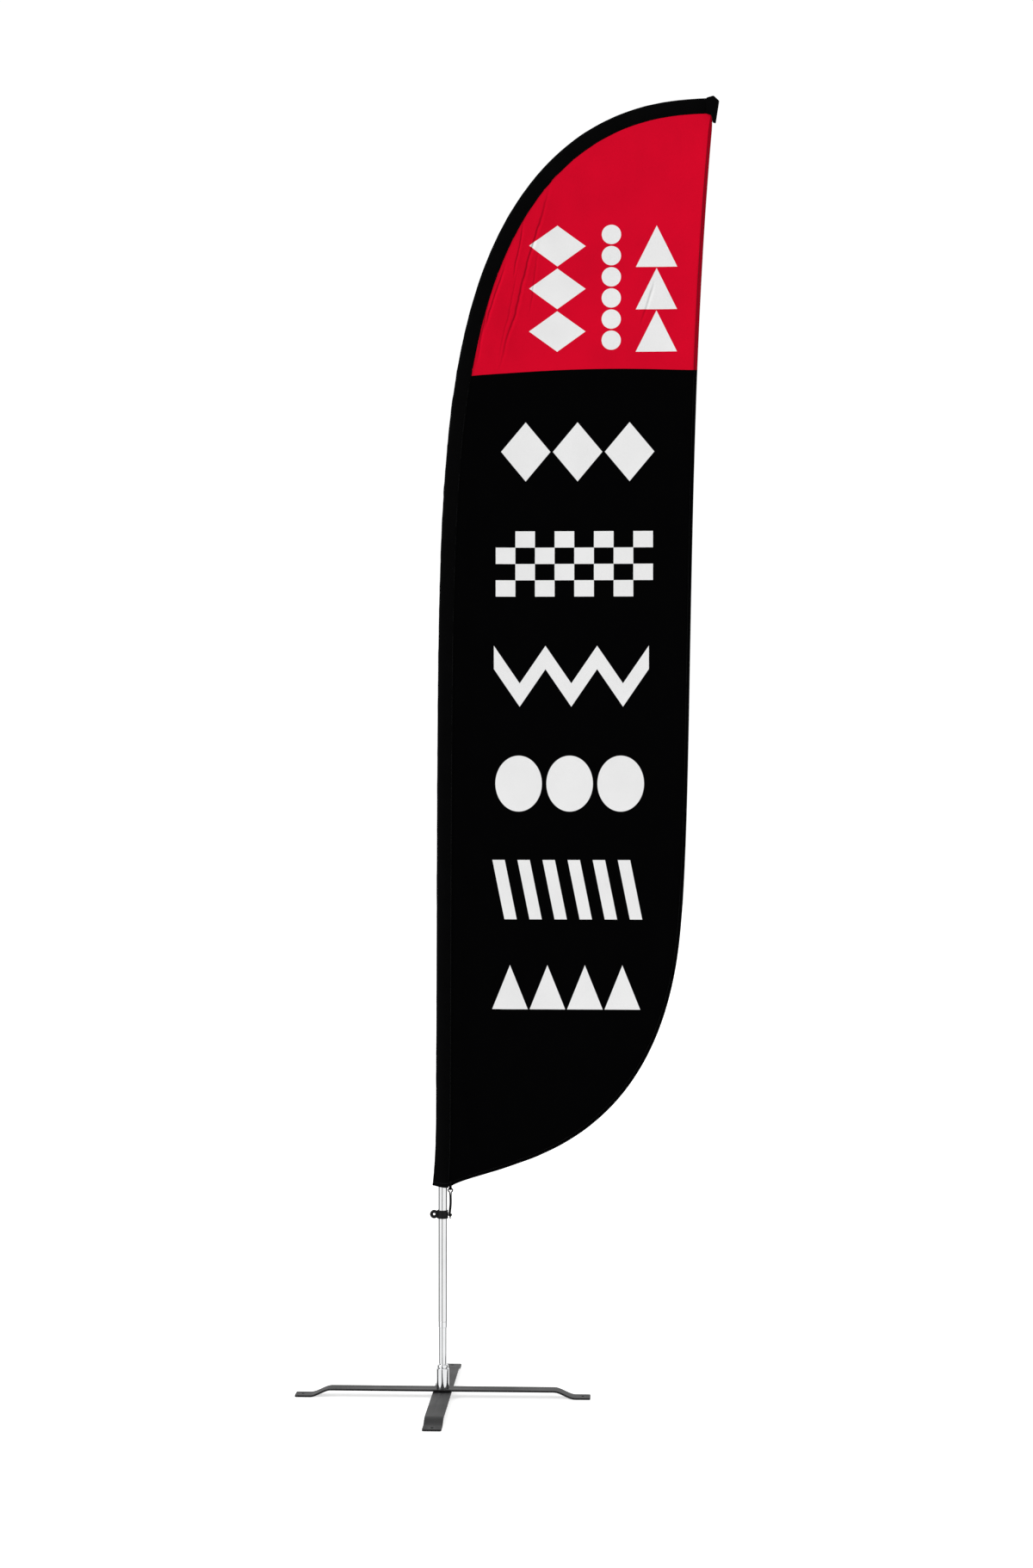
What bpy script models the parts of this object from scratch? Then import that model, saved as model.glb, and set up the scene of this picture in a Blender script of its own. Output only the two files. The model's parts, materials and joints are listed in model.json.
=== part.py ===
"""Feather flag with its pole on a folding cross base.

The frame is in metres with +Z up. The origin is on the pole's axis at floor level. The flag
lies in the XZ plane and flies towards +X. The upper leg of the cross base runs along X and the
lower leg along Y.
"""
import math

import bmesh
import bpy
from mathutils import Matrix, Vector

# Clearances
GAP = 0.0003                  # between two pieces that touch
RUNNING = 0.0006              # radial room around a turning shaft or a tube that pulls off

# Cross base: two flat bars with joggled ends, crossing at the pivot bolt
LEG_LENGTH = 0.800
LEG_WIDTH = 0.050
LEG_THICK = 0.005
LEG_CORNER = 0.006
LEG_CORNER_STEPS = 4
FOOT_LENGTH = 0.040           # flat part of each foot
JOGGLE_RUN = 0.059            # horizontal length of the slope behind a foot
JOGGLE_STEPS = 6
LOWER_RISE = 0.0124           # underside of the lower leg's raised middle
PEG_HOLE = 0.008
PEG_FROM_END = 0.020

# Pivot bolt and its washers
BOLT_RADIUS = 0.005
BOLT_HEAD_RADIUS = 0.0092
BOLT_HEAD_HEIGHT = 0.0055
BOLT_REACH = 0.014            # how far the bolt goes up into the housing
WASHER_RADIUS = 0.010
WASHER_THICK = 0.0015
SPACER_RADIUS = 0.018
SPACER_THICK = 0.0007         # slip washer between the two legs

# Spindle housing and bearings
JOURNAL_RADIUS = 0.0060       # of the shaft where the bearings sit on it
BEARING_INNER = JOURNAL_RADIUS + GAP
BEARING_OUTER = 0.0140
BEARING_HEIGHT = 0.0080
HOUSING_RADIUS = BEARING_OUTER + 0.0035
HOUSING_ABOVE = 0.0041        # height of the housing above its bearings
HOUSING_CHAMFER = 0.0015
HOUSING_LEDGE = BOLT_REACH + 0.009   # height of the ledge that the lower bearing sits on
LEDGE_BORE = BEARING_OUTER - 0.0035
RACE_THICK = 0.0028
OUTER_RACE_THICK = 0.0022
BALL_COUNT = 8
CAGE_HALF_HEIGHT = 0.0006
BEARING_SPACING = 0.0100      # length of the two spacers between the bearings
SPACER_WALL = 0.0017
CAP_HEIGHT = 0.0092           # bead of the bearing cap above the housing
CAP_RADIUS = BEARING_OUTER + 0.0015
CAP_BEAD = 0.0020             # how far the bead stands out
CAP_BEAD_STEPS = 6
CAP_PLUG = 0.0036

# Pole: two aluminium tubes, then two fibreglass sections that bend
TUBE_RADIUS = 0.0125
TUBE_WALL = 0.0015
TUBE_BORE = TUBE_RADIUS - TUBE_WALL
LOWER_TUBE_LENGTH = 0.946
UPPER_TUBE_LENGTH = 0.960     # with the length inside the lower tube
TUBE_OVERLAP = 0.060
ROD_RADIUS = 0.0070
ROD_TOP_RADIUS = 0.0060
ROD_LENGTH = 0.920
FERRULE_DEPTH = 0.050
FERRULE_FLANGE = 0.006
JOINT_SLEEVE_LENGTH = 0.080
SQUARE_END = 0.012            # short last stretch of a bent section, which keeps its end square
JOINT_SLEEVE_WALL = 0.0010
TIP_ROD_RADIUS = 0.0035
TIP_CAP_LENGTH = 0.024
TIP_CAP_WALL = 0.0011
TIP_CAP_FLOOR = 0.006
TIP_CAP_SHORT = 0.004         # how far the cap stays inside the sleeve's end

# Turning spindle
THREAD_RADIUS = JOURNAL_RADIUS - 0.0010
SHOULDER_RADIUS = JOURNAL_RADIUS + 0.0015
NECK_RADIUS = SHOULDER_RADIUS + 0.0017
STUB_RADIUS = TUBE_BORE - RUNNING    # upper end, which the pole slides over
SPINDLE_RADIUS = STUB_RADIUS + 0.00045
STUB_LENGTH = 0.096
SPINDLE_NUT_RADIUS = LEDGE_BORE - 0.0020
SPINDLE_NUT_HEIGHT = 0.0045
COLLAR_FLOOR = 0.188          # height of the shoulder that carries the stop collar
COLLAR_HEIGHT = 0.0157
COLLAR_RADIUS = TUBE_RADIUS - 0.0005

# Bend of the pole inside the sleeve. The angle from upright at the share t of the way up is
# BEND_ANGLE * t**BEND_POWER * (BEND_POWER + BEND_END - BEND_POWER * t**BEND_END) / BEND_END,
# so the pole is straight at its foot and unbent again at its free end.
SLEEVE_FOOT = 0.566           # height of the sleeve's mouth
SLEEVE_LENGTH = 3.316
BEND_ANGLE = math.radians(88.0)
BEND_POWER = 6.37
BEND_END = 14.9
STATIONS = 44

# Flag: sleeve, panel, hem, tip pocket and corner strap
SLEEVE_WIDTH = 0.041
SLEEVE_WALL = 0.0008
SLEEVE_EASE = 0.0017          # from a pole section to the sleeve's outside where it wraps it
FOLD_FOOT = 0.0048            # from that round back to the outer fold, at the foot
FOLD_TIP = 0.0015
FOLD_LEAST = 0.0010           # anywhere on the sleeve
JOINT_ROOM = 0.0015           # from the rods' joint sleeve to the cloth sleeve's outside
MOUTH_FLARE = 0.009
MOUTH_SEAM = 0.0018           # from the round back to the seam, at the mouth
MOUTH_LENGTH = 0.180
PANEL_THICK = 0.0012
HEM_THICK = 0.0024
HEM_WIDTH = 0.0095
EDGE_SHAPE = (                # guides of two cubic curves, as shares from the lower corner
    (0.8902, 0.7174), (0.9308, 0.3519), (0.8706, 0.2282), (0.7685, 0.0164), (0.1154, 0.0226),
)
HEM_BELOW_SLEEVE = 0.0017
HEM_BEFORE_POCKET = 0.0027
EDGE_STEPS = 16
POCKET_LENGTH = 0.012
POCKET_HEIGHT = 0.062
POCKET_THICK = 0.0135
STRAP_WIDTH = 0.0070
STRAP_THICK = 0.0010
STRAP_HEIGHT = 0.019          # above the sleeve's mouth
STRAP_ROOM = 0.0011           # room under the cord, which sags out of the strap's ends

# Tension clip and its elastic cord
CLIP_CENTRE = SLEEVE_FOOT - 0.0715
CLIP_HEIGHT = 0.0220
CLIP_WALL = 0.0020
EAR_THICK = 0.0050
EAR_X = -(TUBE_RADIUS + 0.0105)
EAR_RADIUS = 0.0115
EAR_HOLE = 0.0031
WEB_SHARE = 0.85              # height of the web behind an ear, as a share of the ear's
EYE_RADIUS = 0.0046
EYE_HOLE = 0.0023
EYE_X = TUBE_RADIUS + GAP + CLIP_WALL + EYE_HOLE + 0.0005
CORD_RADIUS = 0.0017
CORD_HEIGHT = SLEEVE_FOOT - GAP - CORD_RADIUS            # of its run through the strap
CORD_FRONT = EAR_THICK / 2 + CORD_RADIUS + 0.0006

# Places that follow from the sizes above
LEG_STACK = LEG_THICK + GAP + SPACER_THICK + GAP
UPPER_RISE = LOWER_RISE + LEG_STACK
LEG_TOP = UPPER_RISE + LEG_THICK
HOUSING_FOOT = LEG_TOP + GAP
LOWER_BEARING = HOUSING_FOOT + HOUSING_LEDGE + GAP
SPACER_FOOT = LOWER_BEARING + BEARING_HEIGHT + GAP
UPPER_BEARING = SPACER_FOOT + BEARING_SPACING + GAP
BEARINGS_TOP = UPPER_BEARING + BEARING_HEIGHT
HOUSING_TOP = BEARINGS_TOP + HOUSING_ABOVE
CAP_FOOT = HOUSING_TOP + GAP
CAP_TOP = CAP_FOOT + CAP_HEIGHT
COLLAR_TOP = COLLAR_FLOOR + GAP + COLLAR_HEIGHT
POLE_FOOT = COLLAR_TOP + GAP
UPPER_TUBE_RADIUS = TUBE_BORE - GAP
UPPER_TUBE_FOOT = POLE_FOOT + LOWER_TUBE_LENGTH - TUBE_OVERLAP
UPPER_TUBE_TOP = UPPER_TUBE_FOOT + UPPER_TUBE_LENGTH - SLEEVE_FOOT   # along the sleeve's axis
ROD_FOOT = UPPER_TUBE_TOP - FERRULE_DEPTH
ROD_TOP = ROD_FOOT + ROD_LENGTH
JOINT_RADIUS = ROD_TOP_RADIUS + RUNNING + JOINT_SLEEVE_WALL
TIP_TOP = SLEEVE_LENGTH - TIP_CAP_SHORT
TIP_CAP_RADIUS = TIP_ROD_RADIUS + GAP + TIP_CAP_WALL
LOWER_TUBE_TOP = POLE_FOOT + LOWER_TUBE_LENGTH - SLEEVE_FOOT
SLEEVE_ROUND = (              # length along the pole and the sleeve's radius there
    (0.0, TUBE_RADIUS + SLEEVE_EASE), (LOWER_TUBE_TOP + 0.015, TUBE_RADIUS + SLEEVE_EASE),
    (UPPER_TUBE_TOP + 0.040, UPPER_TUBE_RADIUS + SLEEVE_EASE),
    (SLEEVE_LENGTH, TIP_CAP_RADIUS + 0.0011),
)
FOLD_AT_FOOT = SLEEVE_ROUND[0][1] + FOLD_FOOT
FOLD_AT_TIP = SLEEVE_ROUND[-1][1] + FOLD_TIP

ROUND = 28                    # sides of the larger turned pieces
FINE_ROUND = 20               # sides of the small ones

parts = None
guides = None


# ---------------------------------------------------------------- scene and materials
def start_scene():
    """Empty the file and make one collection for the parts and one for the cutters."""
    global parts, guides
    for old in list(bpy.data.objects):
        bpy.data.objects.remove(old)
    parts = bpy.data.collections.new("feather_flag")
    guides = bpy.data.collections.new("cutters")
    for group in (parts, guides):
        bpy.context.scene.collection.children.link(group)


def material(name, colour, roughness, metallic):
    """A Principled BSDF with plain values."""
    made = bpy.data.materials.new(name)
    made.use_nodes = True
    shader = made.node_tree.nodes["Principled BSDF"]
    shader.inputs["Base Color"].default_value = (*colour, 1.0)
    shader.inputs["Roughness"].default_value = roughness
    shader.inputs["Metallic"].default_value = metallic
    return made


def powder_coat(name):
    return material(name, (0.045, 0.045, 0.05), 0.45, 0.0)


def chrome(name):
    return material(name, (0.86, 0.87, 0.88), 0.08, 1.0)


def bright_steel(name):
    return material(name, (0.60, 0.61, 0.63), 0.25, 1.0)


def aluminium(name):
    return material(name, (0.80, 0.81, 0.82), 0.18, 1.0)


def black_plastic(name):
    return material(name, (0.012, 0.012, 0.013), 0.40, 0.0)


def fibreglass(name):
    return material(name, (0.020, 0.020, 0.022), 0.30, 0.0)


def black_cloth(name):
    return material(name, (0.008, 0.008, 0.009), 0.85, 0.0)


def printed_cloth(name):
    return material(name, (0.58, 0.003, 0.018), 0.80, 0.0)


def place(name, mesh, paint, group=None):
    """Put a mesh or a curve in the parts collection as one named object."""
    piece = bpy.data.objects.new(name, mesh)
    if paint:
        piece.data.materials.append(paint(name))
    (group or parts).objects.link(piece)
    return piece


def mesh_from(shape, name, closed=True):
    """Finish a bmesh: a closed one's faces outwards, then smooth with sharp edges."""
    if closed:
        bmesh.ops.recalc_face_normals(shape, faces=shape.faces)
    mesh = bpy.data.meshes.new(name)
    shape.to_mesh(mesh)
    shape.free()
    mesh.shade_smooth()
    mesh.set_sharp_from_angle(angle=math.radians(35))
    return mesh


# ---------------------------------------------------------------- basic shapes
def turned(name, profile, paint, steps=ROUND, group=None):
    """A turned solid. The profile's (radius, height) points run down its outer side.

    A profile that ends on the axis is a solid bar, and any other profile closes on itself.
    """
    shape = bmesh.new()
    points = [shape.verts.new((radius, 0.0, height)) for radius, height in profile]
    solid = profile[0][0] == 0.0
    for one, two in zip(points, points[1:] if solid else points[1:] + points[:1]):
        shape.edges.new((one, two))
    mesh = bpy.data.meshes.new(name)
    shape.to_mesh(mesh)
    shape.free()
    piece = place(name, mesh, paint, group)
    screw = piece.modifiers.new("turn", "SCREW")
    screw.steps = screw.render_steps = steps
    screw.use_merge_vertices = True
    screw.merge_threshold = 0.00001
    screw.use_smooth_shade = True
    return piece


def ring(name, outer, inner, low, high, paint, steps=FINE_ROUND):
    """A plain turned ring between two heights."""
    profile = ((outer, high), (outer, low), (inner, low), (inner, high))
    return turned(name, profile, paint, steps)


def prism(name, outline, low, high, paint, group=None):
    """A flat outline in X and Y, raised from one height to another."""
    shape = bmesh.new()
    floor = shape.faces.new([shape.verts.new((x, y, low)) for x, y in outline])
    raised = bmesh.ops.extrude_face_region(shape, geom=[floor])["geom"]
    corners = [part for part in raised if isinstance(part, bmesh.types.BMVert)]
    bmesh.ops.translate(shape, verts=corners, vec=(0, 0, high - low))
    return place(name, mesh_from(shape, name), paint, group)


def cutter_cylinder(name, radius, length, centre, axis="Z", steps=FINE_ROUND):
    """A wire-drawn cylinder that only cuts other pieces."""
    shape = bmesh.new()
    bmesh.ops.create_cone(shape, cap_ends=True, segments=steps, radius1=radius,
                          radius2=radius, depth=length)
    turn = {"Z": Matrix(), "Y": Matrix.Rotation(math.pi / 2, 4, "X")}[axis]
    bmesh.ops.transform(shape, matrix=Matrix.Translation(centre) @ turn, verts=shape.verts)
    return as_guide(place(name, mesh_from(shape, name), None, guides))


def as_guide(piece):
    piece.hide_render = True
    piece.display_type = "WIRE"
    return piece


def boolean(piece, other, operation):
    """Cut or join with the exact solver."""
    step = piece.modifiers.new(operation.lower(), "BOOLEAN")
    step.operation = operation
    step.object = other
    step.solver = "EXACT"


def flat_sheet(name, outline, thick, paint):
    """A flat sheet in the XZ plane, centred on y = 0, from an outline of (x, z) points."""
    curve = bpy.data.curves.new(name, "CURVE")
    curve.dimensions = "2D"
    curve.fill_mode = "BOTH"
    curve.extrude = thick / 2
    line = curve.splines.new("POLY")
    line.points.add(len(outline) - 1)
    for point, (x, z) in zip(line.points, outline):
        point.co = (x, z, 0.0, 1.0)
    line.use_cyclic_u = True
    piece = place(name, curve, paint)
    piece.rotation_euler = (math.pi / 2, 0.0, 0.0)
    weld = piece.modifiers.new("weld", "WELD")
    weld.merge_threshold = 0.00001
    return piece


# ---------------------------------------------------------------- the pole's line
def bend_angle(share):
    """The pole's angle from upright at this share of the sleeve's length."""
    share = min(max(share, 0.0), 1.0)
    swell = (BEND_POWER + BEND_END - BEND_POWER * share ** BEND_END) / BEND_END
    return BEND_ANGLE * share ** BEND_POWER * swell


def pole_line(steps=1200):
    """Points along the pole's axis above the sleeve's mouth, by adding up short steps."""
    points = [(0.0, SLEEVE_FOOT)]
    step = SLEEVE_LENGTH / steps
    for count in range(steps):
        angle = bend_angle((count + 0.5) / steps)
        x, z = points[-1]
        points.append((x + step * math.sin(angle), z + step * math.cos(angle)))
    return points


POLE_LINE = pole_line()


def on_pole(along):
    """The axis point and the angle from upright at a length above the sleeve's mouth."""
    if along < 0.0:
        return Vector((0.0, 0.0, SLEEVE_FOOT + along)), 0.0
    place_in_line = along / SLEEVE_LENGTH * (len(POLE_LINE) - 1)
    low = min(int(place_in_line), len(POLE_LINE) - 2)
    one, two = (Vector(point) for point in POLE_LINE[low:low + 2])
    here = one.lerp(two, place_in_line - low)
    return Vector((here.x, 0.0, here.y)), bend_angle(along / SLEEVE_LENGTH)


def stations(start, end):
    """Lengths from start to end, closer together where the pole bends and at its sections' ends."""
    grid = [SLEEVE_LENGTH * (1 - (1 - step / STATIONS) ** 1.35) for step in range(STATIONS + 1)]
    least = SLEEVE_LENGTH / STATIONS / 8
    ends = (UPPER_TUBE_TOP - SQUARE_END, ROD_TOP - JOINT_SLEEVE_LENGTH / 2, ROD_TOP - SQUARE_END,
            ROD_TOP + SQUARE_END, ROD_TOP + JOINT_SLEEVE_LENGTH / 2)
    clear = [s for s in grid if all(abs(s - place) > least for place in ends)]
    return [start] + [s for s in sorted([*clear, *ends]) if start + least < s < end - least] + [end]


def on_pole_frame(along):
    """A matrix with its Z along the pole and its X towards the flag."""
    point, angle = on_pole(along)
    return Matrix.Translation(point) @ Matrix.Rotation(angle, 4, "Y")


def swept(name, start, end, radius, end_radius, paint, wall=0.0, sides=24):
    """A rod or tube along the pole's line. With a wall it is a tube that is open at both ends."""
    curve = bpy.data.curves.new(name, "CURVE")
    curve.dimensions = "3D"
    curve.bevel_depth = 1.0
    curve.bevel_resolution = (sides - 4) // 2
    curve.use_fill_caps = not wall
    curve.twist_mode = "Z_UP"
    line = curve.splines.new("POLY")
    lengths = stations(start, end)
    line.points.add(len(lengths) - 1)
    for point, along in zip(line.points, lengths):
        share = (along - start) / (end - start)
        point.co = (*on_pole(along)[0], 1.0)
        point.radius = radius + (end_radius - radius) * share
    piece = place(name, curve, paint)
    weld = piece.modifiers.new("weld", "WELD")
    weld.merge_threshold = 0.00001
    if wall:
        shell = piece.modifiers.new("wall", "SOLIDIFY")
        shell.thickness = wall
        shell.offset = -1.0
    return piece


# ---------------------------------------------------------------- cross base
def leg_height(along, rise):
    """Height of a leg's underside: flat on the foot, an eased slope, then flat in the middle."""
    from_end = LEG_LENGTH / 2 - abs(along)
    share = min(max((from_end - FOOT_LENGTH) / JOGGLE_RUN, 0.0), 1.0)
    return rise * share * share * (3 - 2 * share)


def leg_outline():
    """The leg seen from above: a long rectangle with rounded corners."""
    points = []
    for quarter, (sx, sy) in enumerate(((1, 1), (-1, 1), (-1, -1), (1, -1))):
        for step in range(LEG_CORNER_STEPS + 1):
            turn = math.radians(90 * (quarter + step / LEG_CORNER_STEPS))
            points.append((sx * (LEG_LENGTH / 2 - LEG_CORNER) + LEG_CORNER * math.cos(turn),
                           sy * (LEG_WIDTH / 2 - LEG_CORNER) + LEG_CORNER * math.sin(turn)))
    return points


def leg(name, rise, angle):
    """One leg of the cross: a joggled flat bar with peg holes and a pivot hole."""
    half = LEG_LENGTH / 2
    slope = [half - FOOT_LENGTH - JOGGLE_RUN * step / JOGGLE_STEPS
             for step in range(JOGGLE_STEPS + 1)]
    along = [half + LEG_CORNER] + slope
    along = [-x for x in along] + along[::-1]
    shape = bmesh.new()
    rows = [[shape.verts.new((x, side * LEG_WIDTH, leg_height(x, rise))) for side in (-1, 1)]
            for x in along]
    for one, two in zip(rows, rows[1:]):
        shape.faces.new((one[0], two[0], two[1], one[1]))
    piece = place(name, mesh_from(shape, name, closed=False), powder_coat)
    plate = piece.modifiers.new("plate", "SOLIDIFY")
    plate.thickness = LEG_THICK
    plate.offset = 1.0
    blank = as_guide(prism(name + "_blank", leg_outline(), -LEG_TOP, 2 * LEG_TOP, None, guides))
    boolean(piece, blank, "INTERSECT")
    depth = 4 * (rise + LEG_THICK)
    peg = half - PEG_FROM_END
    for count, (x, radius) in enumerate(((-peg, PEG_HOLE / 2), (peg, PEG_HOLE / 2),
                                         (0.0, BOLT_RADIUS + GAP))):
        hole = cutter_cylinder(f"{name}_hole_{count}", radius, depth, (x, 0, 0))
        boolean(piece, hole, "DIFFERENCE")
    for item in [piece] + [guide for guide in guides.objects if guide.name.startswith(name)]:
        item.rotation_euler = (0.0, 0.0, angle)
    return piece


def pivot_pieces():
    """The bolt from below, its washer and the slip washer between the legs."""
    ring("leg_slip_washer", SPACER_RADIUS, BOLT_RADIUS + GAP, LOWER_RISE + LEG_THICK + GAP,
         LOWER_RISE + LEG_THICK + GAP + SPACER_THICK, black_plastic)
    washer_top = LOWER_RISE - GAP
    washer_foot = washer_top - WASHER_THICK
    ring("pivot_washer", WASHER_RADIUS, BOLT_RADIUS + GAP, washer_foot, washer_top, bright_steel)
    head_top = washer_foot - GAP
    head_foot = head_top - BOLT_HEAD_HEIGHT
    bolt = turned("pivot_bolt", ((0.0, HOUSING_FOOT + BOLT_REACH),
                                 (BOLT_RADIUS, HOUSING_FOOT + BOLT_REACH),
                                 (BOLT_RADIUS, head_top - GAP), (0.0, head_top - GAP)),
                  bright_steel, FINE_ROUND)
    corners = [(BOLT_HEAD_RADIUS * math.cos(math.radians(60 * k)),
                BOLT_HEAD_RADIUS * math.sin(math.radians(60 * k))) for k in range(6)]
    head = as_guide(prism("bolt_head_block", corners, head_foot, head_top, None, guides))
    boolean(bolt, head, "UNION")


def housing():
    """Turned sleeve on the upper leg that holds the bearings."""
    foot, top = HOUSING_FOOT, HOUSING_TOP
    bore = BEARING_OUTER + GAP
    ledge = foot + HOUSING_LEDGE
    bolt_bore = BOLT_RADIUS + GAP
    turned("spindle_housing", (
        (HOUSING_RADIUS - HOUSING_CHAMFER, top), (HOUSING_RADIUS, top - HOUSING_CHAMFER),
        (HOUSING_RADIUS, foot), (bolt_bore, foot), (bolt_bore, foot + BOLT_REACH),
        (LEDGE_BORE, foot + BOLT_REACH), (LEDGE_BORE, ledge), (bore, ledge), (bore, top)),
        chrome)


def ball_cage(name, foot):
    """Eight balls in their cage ring, as one turned and joined piece."""
    inner = BEARING_INNER + RACE_THICK
    outer = BEARING_OUTER - OUTER_RACE_THICK
    pitch = (inner + outer) / 2
    ball = (outer - inner) / 2 - GAP
    middle = foot + BEARING_HEIGHT / 2
    shape = bmesh.new()
    for count in range(BALL_COUNT):
        turn = Matrix.Rotation(math.tau * count / BALL_COUNT, 4, "Z")
        at = turn @ Matrix.Translation((pitch, 0.0, middle))
        bmesh.ops.create_uvsphere(shape, u_segments=8, v_segments=6, radius=ball, matrix=at)
    balls = as_guide(place(name + "_balls", mesh_from(shape, name + "_balls"), None, guides))
    cage = ring(name, pitch + ball / 2, pitch - ball / 2, middle - CAGE_HALF_HEIGHT,
                middle + CAGE_HALF_HEIGHT, bright_steel, steps=24)
    boolean(cage, balls, "UNION")


def bearing(which, foot):
    """One ball bearing: outer race, inner race and cage."""
    top = foot + BEARING_HEIGHT
    ring(f"{which}_bearing_outer_race", BEARING_OUTER, BEARING_OUTER - OUTER_RACE_THICK,
         foot, top, bright_steel, steps=24)
    ring(f"{which}_bearing_inner_race", BEARING_INNER + RACE_THICK, BEARING_INNER,
         foot, top, bright_steel, steps=24)
    ball_cage(f"{which}_bearing_cage", foot)


def bearing_stack():
    """Two bearings, the spacers between them and the cap that keeps them in."""
    bearing("lower", LOWER_BEARING)
    bearing("upper", UPPER_BEARING)
    spacer_top = SPACER_FOOT + BEARING_SPACING
    ring("outer_race_spacer", BEARING_OUTER, BEARING_OUTER - SPACER_WALL, SPACER_FOOT,
         spacer_top, bright_steel, steps=24)
    ring("inner_race_spacer", BEARING_INNER + SPACER_WALL, BEARING_INNER, SPACER_FOOT,
         spacer_top, bright_steel, steps=24)
    bearing_cap()


def bearing_cap():
    """Cap with a rounded bead outside and a plug that keeps the bearings in."""
    bore = NECK_RADIUS + RUNNING
    groove = CAP_RADIUS - CAP_BEAD
    profile = [(groove, CAP_TOP)]
    for step in range(CAP_BEAD_STEPS + 1):
        turn = math.pi * (0.5 - step / CAP_BEAD_STEPS)
        profile.append((groove + CAP_BEAD * math.cos(turn),
                        CAP_FOOT + CAP_HEIGHT * (0.5 + 0.45 * math.sin(turn))))
    profile += [(BEARING_OUTER - GAP, CAP_FOOT), (BEARING_OUTER - GAP, CAP_FOOT - CAP_PLUG),
                (bore, CAP_FOOT - CAP_PLUG), (bore, CAP_TOP)]
    turned("bearing_cap", profile, chrome)


# ---------------------------------------------------------------- turning spindle
def spindle():
    """Shaft with its journal in the bearings, its nut, and the collar under the pole."""
    stub_top = POLE_FOOT + STUB_LENGTH
    shoulder = BEARINGS_TOP + GAP
    neck = CAP_FOOT - CAP_PLUG + RUNNING
    flare = CAP_TOP + 0.003
    thread_top = LOWER_BEARING - GAP
    nut_foot = thread_top - SPINDLE_NUT_HEIGHT
    turned("spindle_shaft", (
        (0.0, stub_top), (STUB_RADIUS - 0.002, stub_top), (STUB_RADIUS, stub_top - 0.003),
        (STUB_RADIUS, COLLAR_FLOOR), (SPINDLE_RADIUS, COLLAR_FLOOR), (SPINDLE_RADIUS, flare),
        (NECK_RADIUS, flare), (NECK_RADIUS, neck), (SHOULDER_RADIUS, neck),
        (SHOULDER_RADIUS, shoulder), (JOURNAL_RADIUS, shoulder), (JOURNAL_RADIUS, thread_top),
        (THREAD_RADIUS, thread_top), (THREAD_RADIUS, nut_foot), (0.0, nut_foot)), chrome)
    ring("spindle_nut", SPINDLE_NUT_RADIUS, THREAD_RADIUS + GAP, nut_foot, thread_top,
         bright_steel)
    turned("stop_collar", (
        (COLLAR_RADIUS - 0.0008, COLLAR_TOP), (COLLAR_RADIUS, COLLAR_TOP - 0.0008),
        (COLLAR_RADIUS, COLLAR_FLOOR + GAP + 0.0008),
        (COLLAR_RADIUS - 0.0008, COLLAR_FLOOR + GAP), (STUB_RADIUS + GAP, COLLAR_FLOOR + GAP),
        (STUB_RADIUS + GAP, COLLAR_TOP)), chrome)


# ---------------------------------------------------------------- pole sections
def turned_on_pole(name, profile, along, paint, steps=FINE_ROUND):
    """A turned piece whose own z = 0 stands at a length along the pole's line."""
    piece = turned(name, profile, paint, steps)
    piece.matrix_world = on_pole_frame(along)
    return piece


def pole():
    """Two tubes, the ferrule, two fibreglass sections, their joint sleeve and the tip cap."""
    ring("lower_pole_tube", TUBE_RADIUS, TUBE_BORE, POLE_FOOT, POLE_FOOT + LOWER_TUBE_LENGTH,
         aluminium, steps=32)
    swept("upper_pole_tube", UPPER_TUBE_FOOT - SLEEVE_FOOT, UPPER_TUBE_TOP, UPPER_TUBE_RADIUS,
          UPPER_TUBE_RADIUS, aluminium, wall=TUBE_WALL)
    seat = UPPER_TUBE_RADIUS - TUBE_WALL - RUNNING / 2
    turned_on_pole("rod_ferrule", (
        (UPPER_TUBE_RADIUS, GAP + FERRULE_FLANGE), (UPPER_TUBE_RADIUS, GAP), (seat, GAP),
        (seat, -FERRULE_DEPTH), (ROD_RADIUS + GAP, -FERRULE_DEPTH),
        (ROD_RADIUS + GAP, GAP + FERRULE_FLANGE)), UPPER_TUBE_TOP, black_plastic)
    swept("fibreglass_rod", ROD_FOOT, ROD_TOP, ROD_RADIUS, ROD_TOP_RADIUS,
          fibreglass, sides=12)
    swept("fibreglass_tip", ROD_TOP + GAP, TIP_TOP - TIP_CAP_FLOOR - GAP, ROD_TOP_RADIUS,
          TIP_ROD_RADIUS, fibreglass, sides=12)
    swept("joint_sleeve", ROD_TOP - JOINT_SLEEVE_LENGTH / 2, ROD_TOP + JOINT_SLEEVE_LENGTH / 2,
          JOINT_RADIUS, JOINT_RADIUS, aluminium, wall=JOINT_SLEEVE_WALL, sides=16)
    cap_bore = TIP_CAP_RADIUS - TIP_CAP_WALL
    turned_on_pole("pole_tip_cap", (
        (0.0, 0.0), (TIP_CAP_RADIUS, 0.0), (TIP_CAP_RADIUS, -TIP_CAP_LENGTH),
        (cap_bore, -TIP_CAP_LENGTH), (cap_bore, -TIP_CAP_FLOOR), (0.0, -TIP_CAP_FLOOR)),
        TIP_TOP, black_plastic)


# ---------------------------------------------------------------- flag
def near_mouth(along):
    """1 at the sleeve's mouth, easing to 0 above it."""
    return max(1 - along / MOUTH_LENGTH, 0.0) ** 2


def straight_fold(along):
    """From the pole's axis to the outer fold, leaving out the flare at the mouth."""
    fold = FOLD_AT_FOOT + (FOLD_AT_TIP - FOLD_AT_FOOT) * along / SLEEVE_LENGTH
    return max(fold, round_radius(along) + FOLD_LEAST)


def outer_offset(along):
    """From the pole's axis to the sleeve's outer fold."""
    return straight_fold(along) + MOUTH_FLARE * near_mouth(along)


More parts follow.
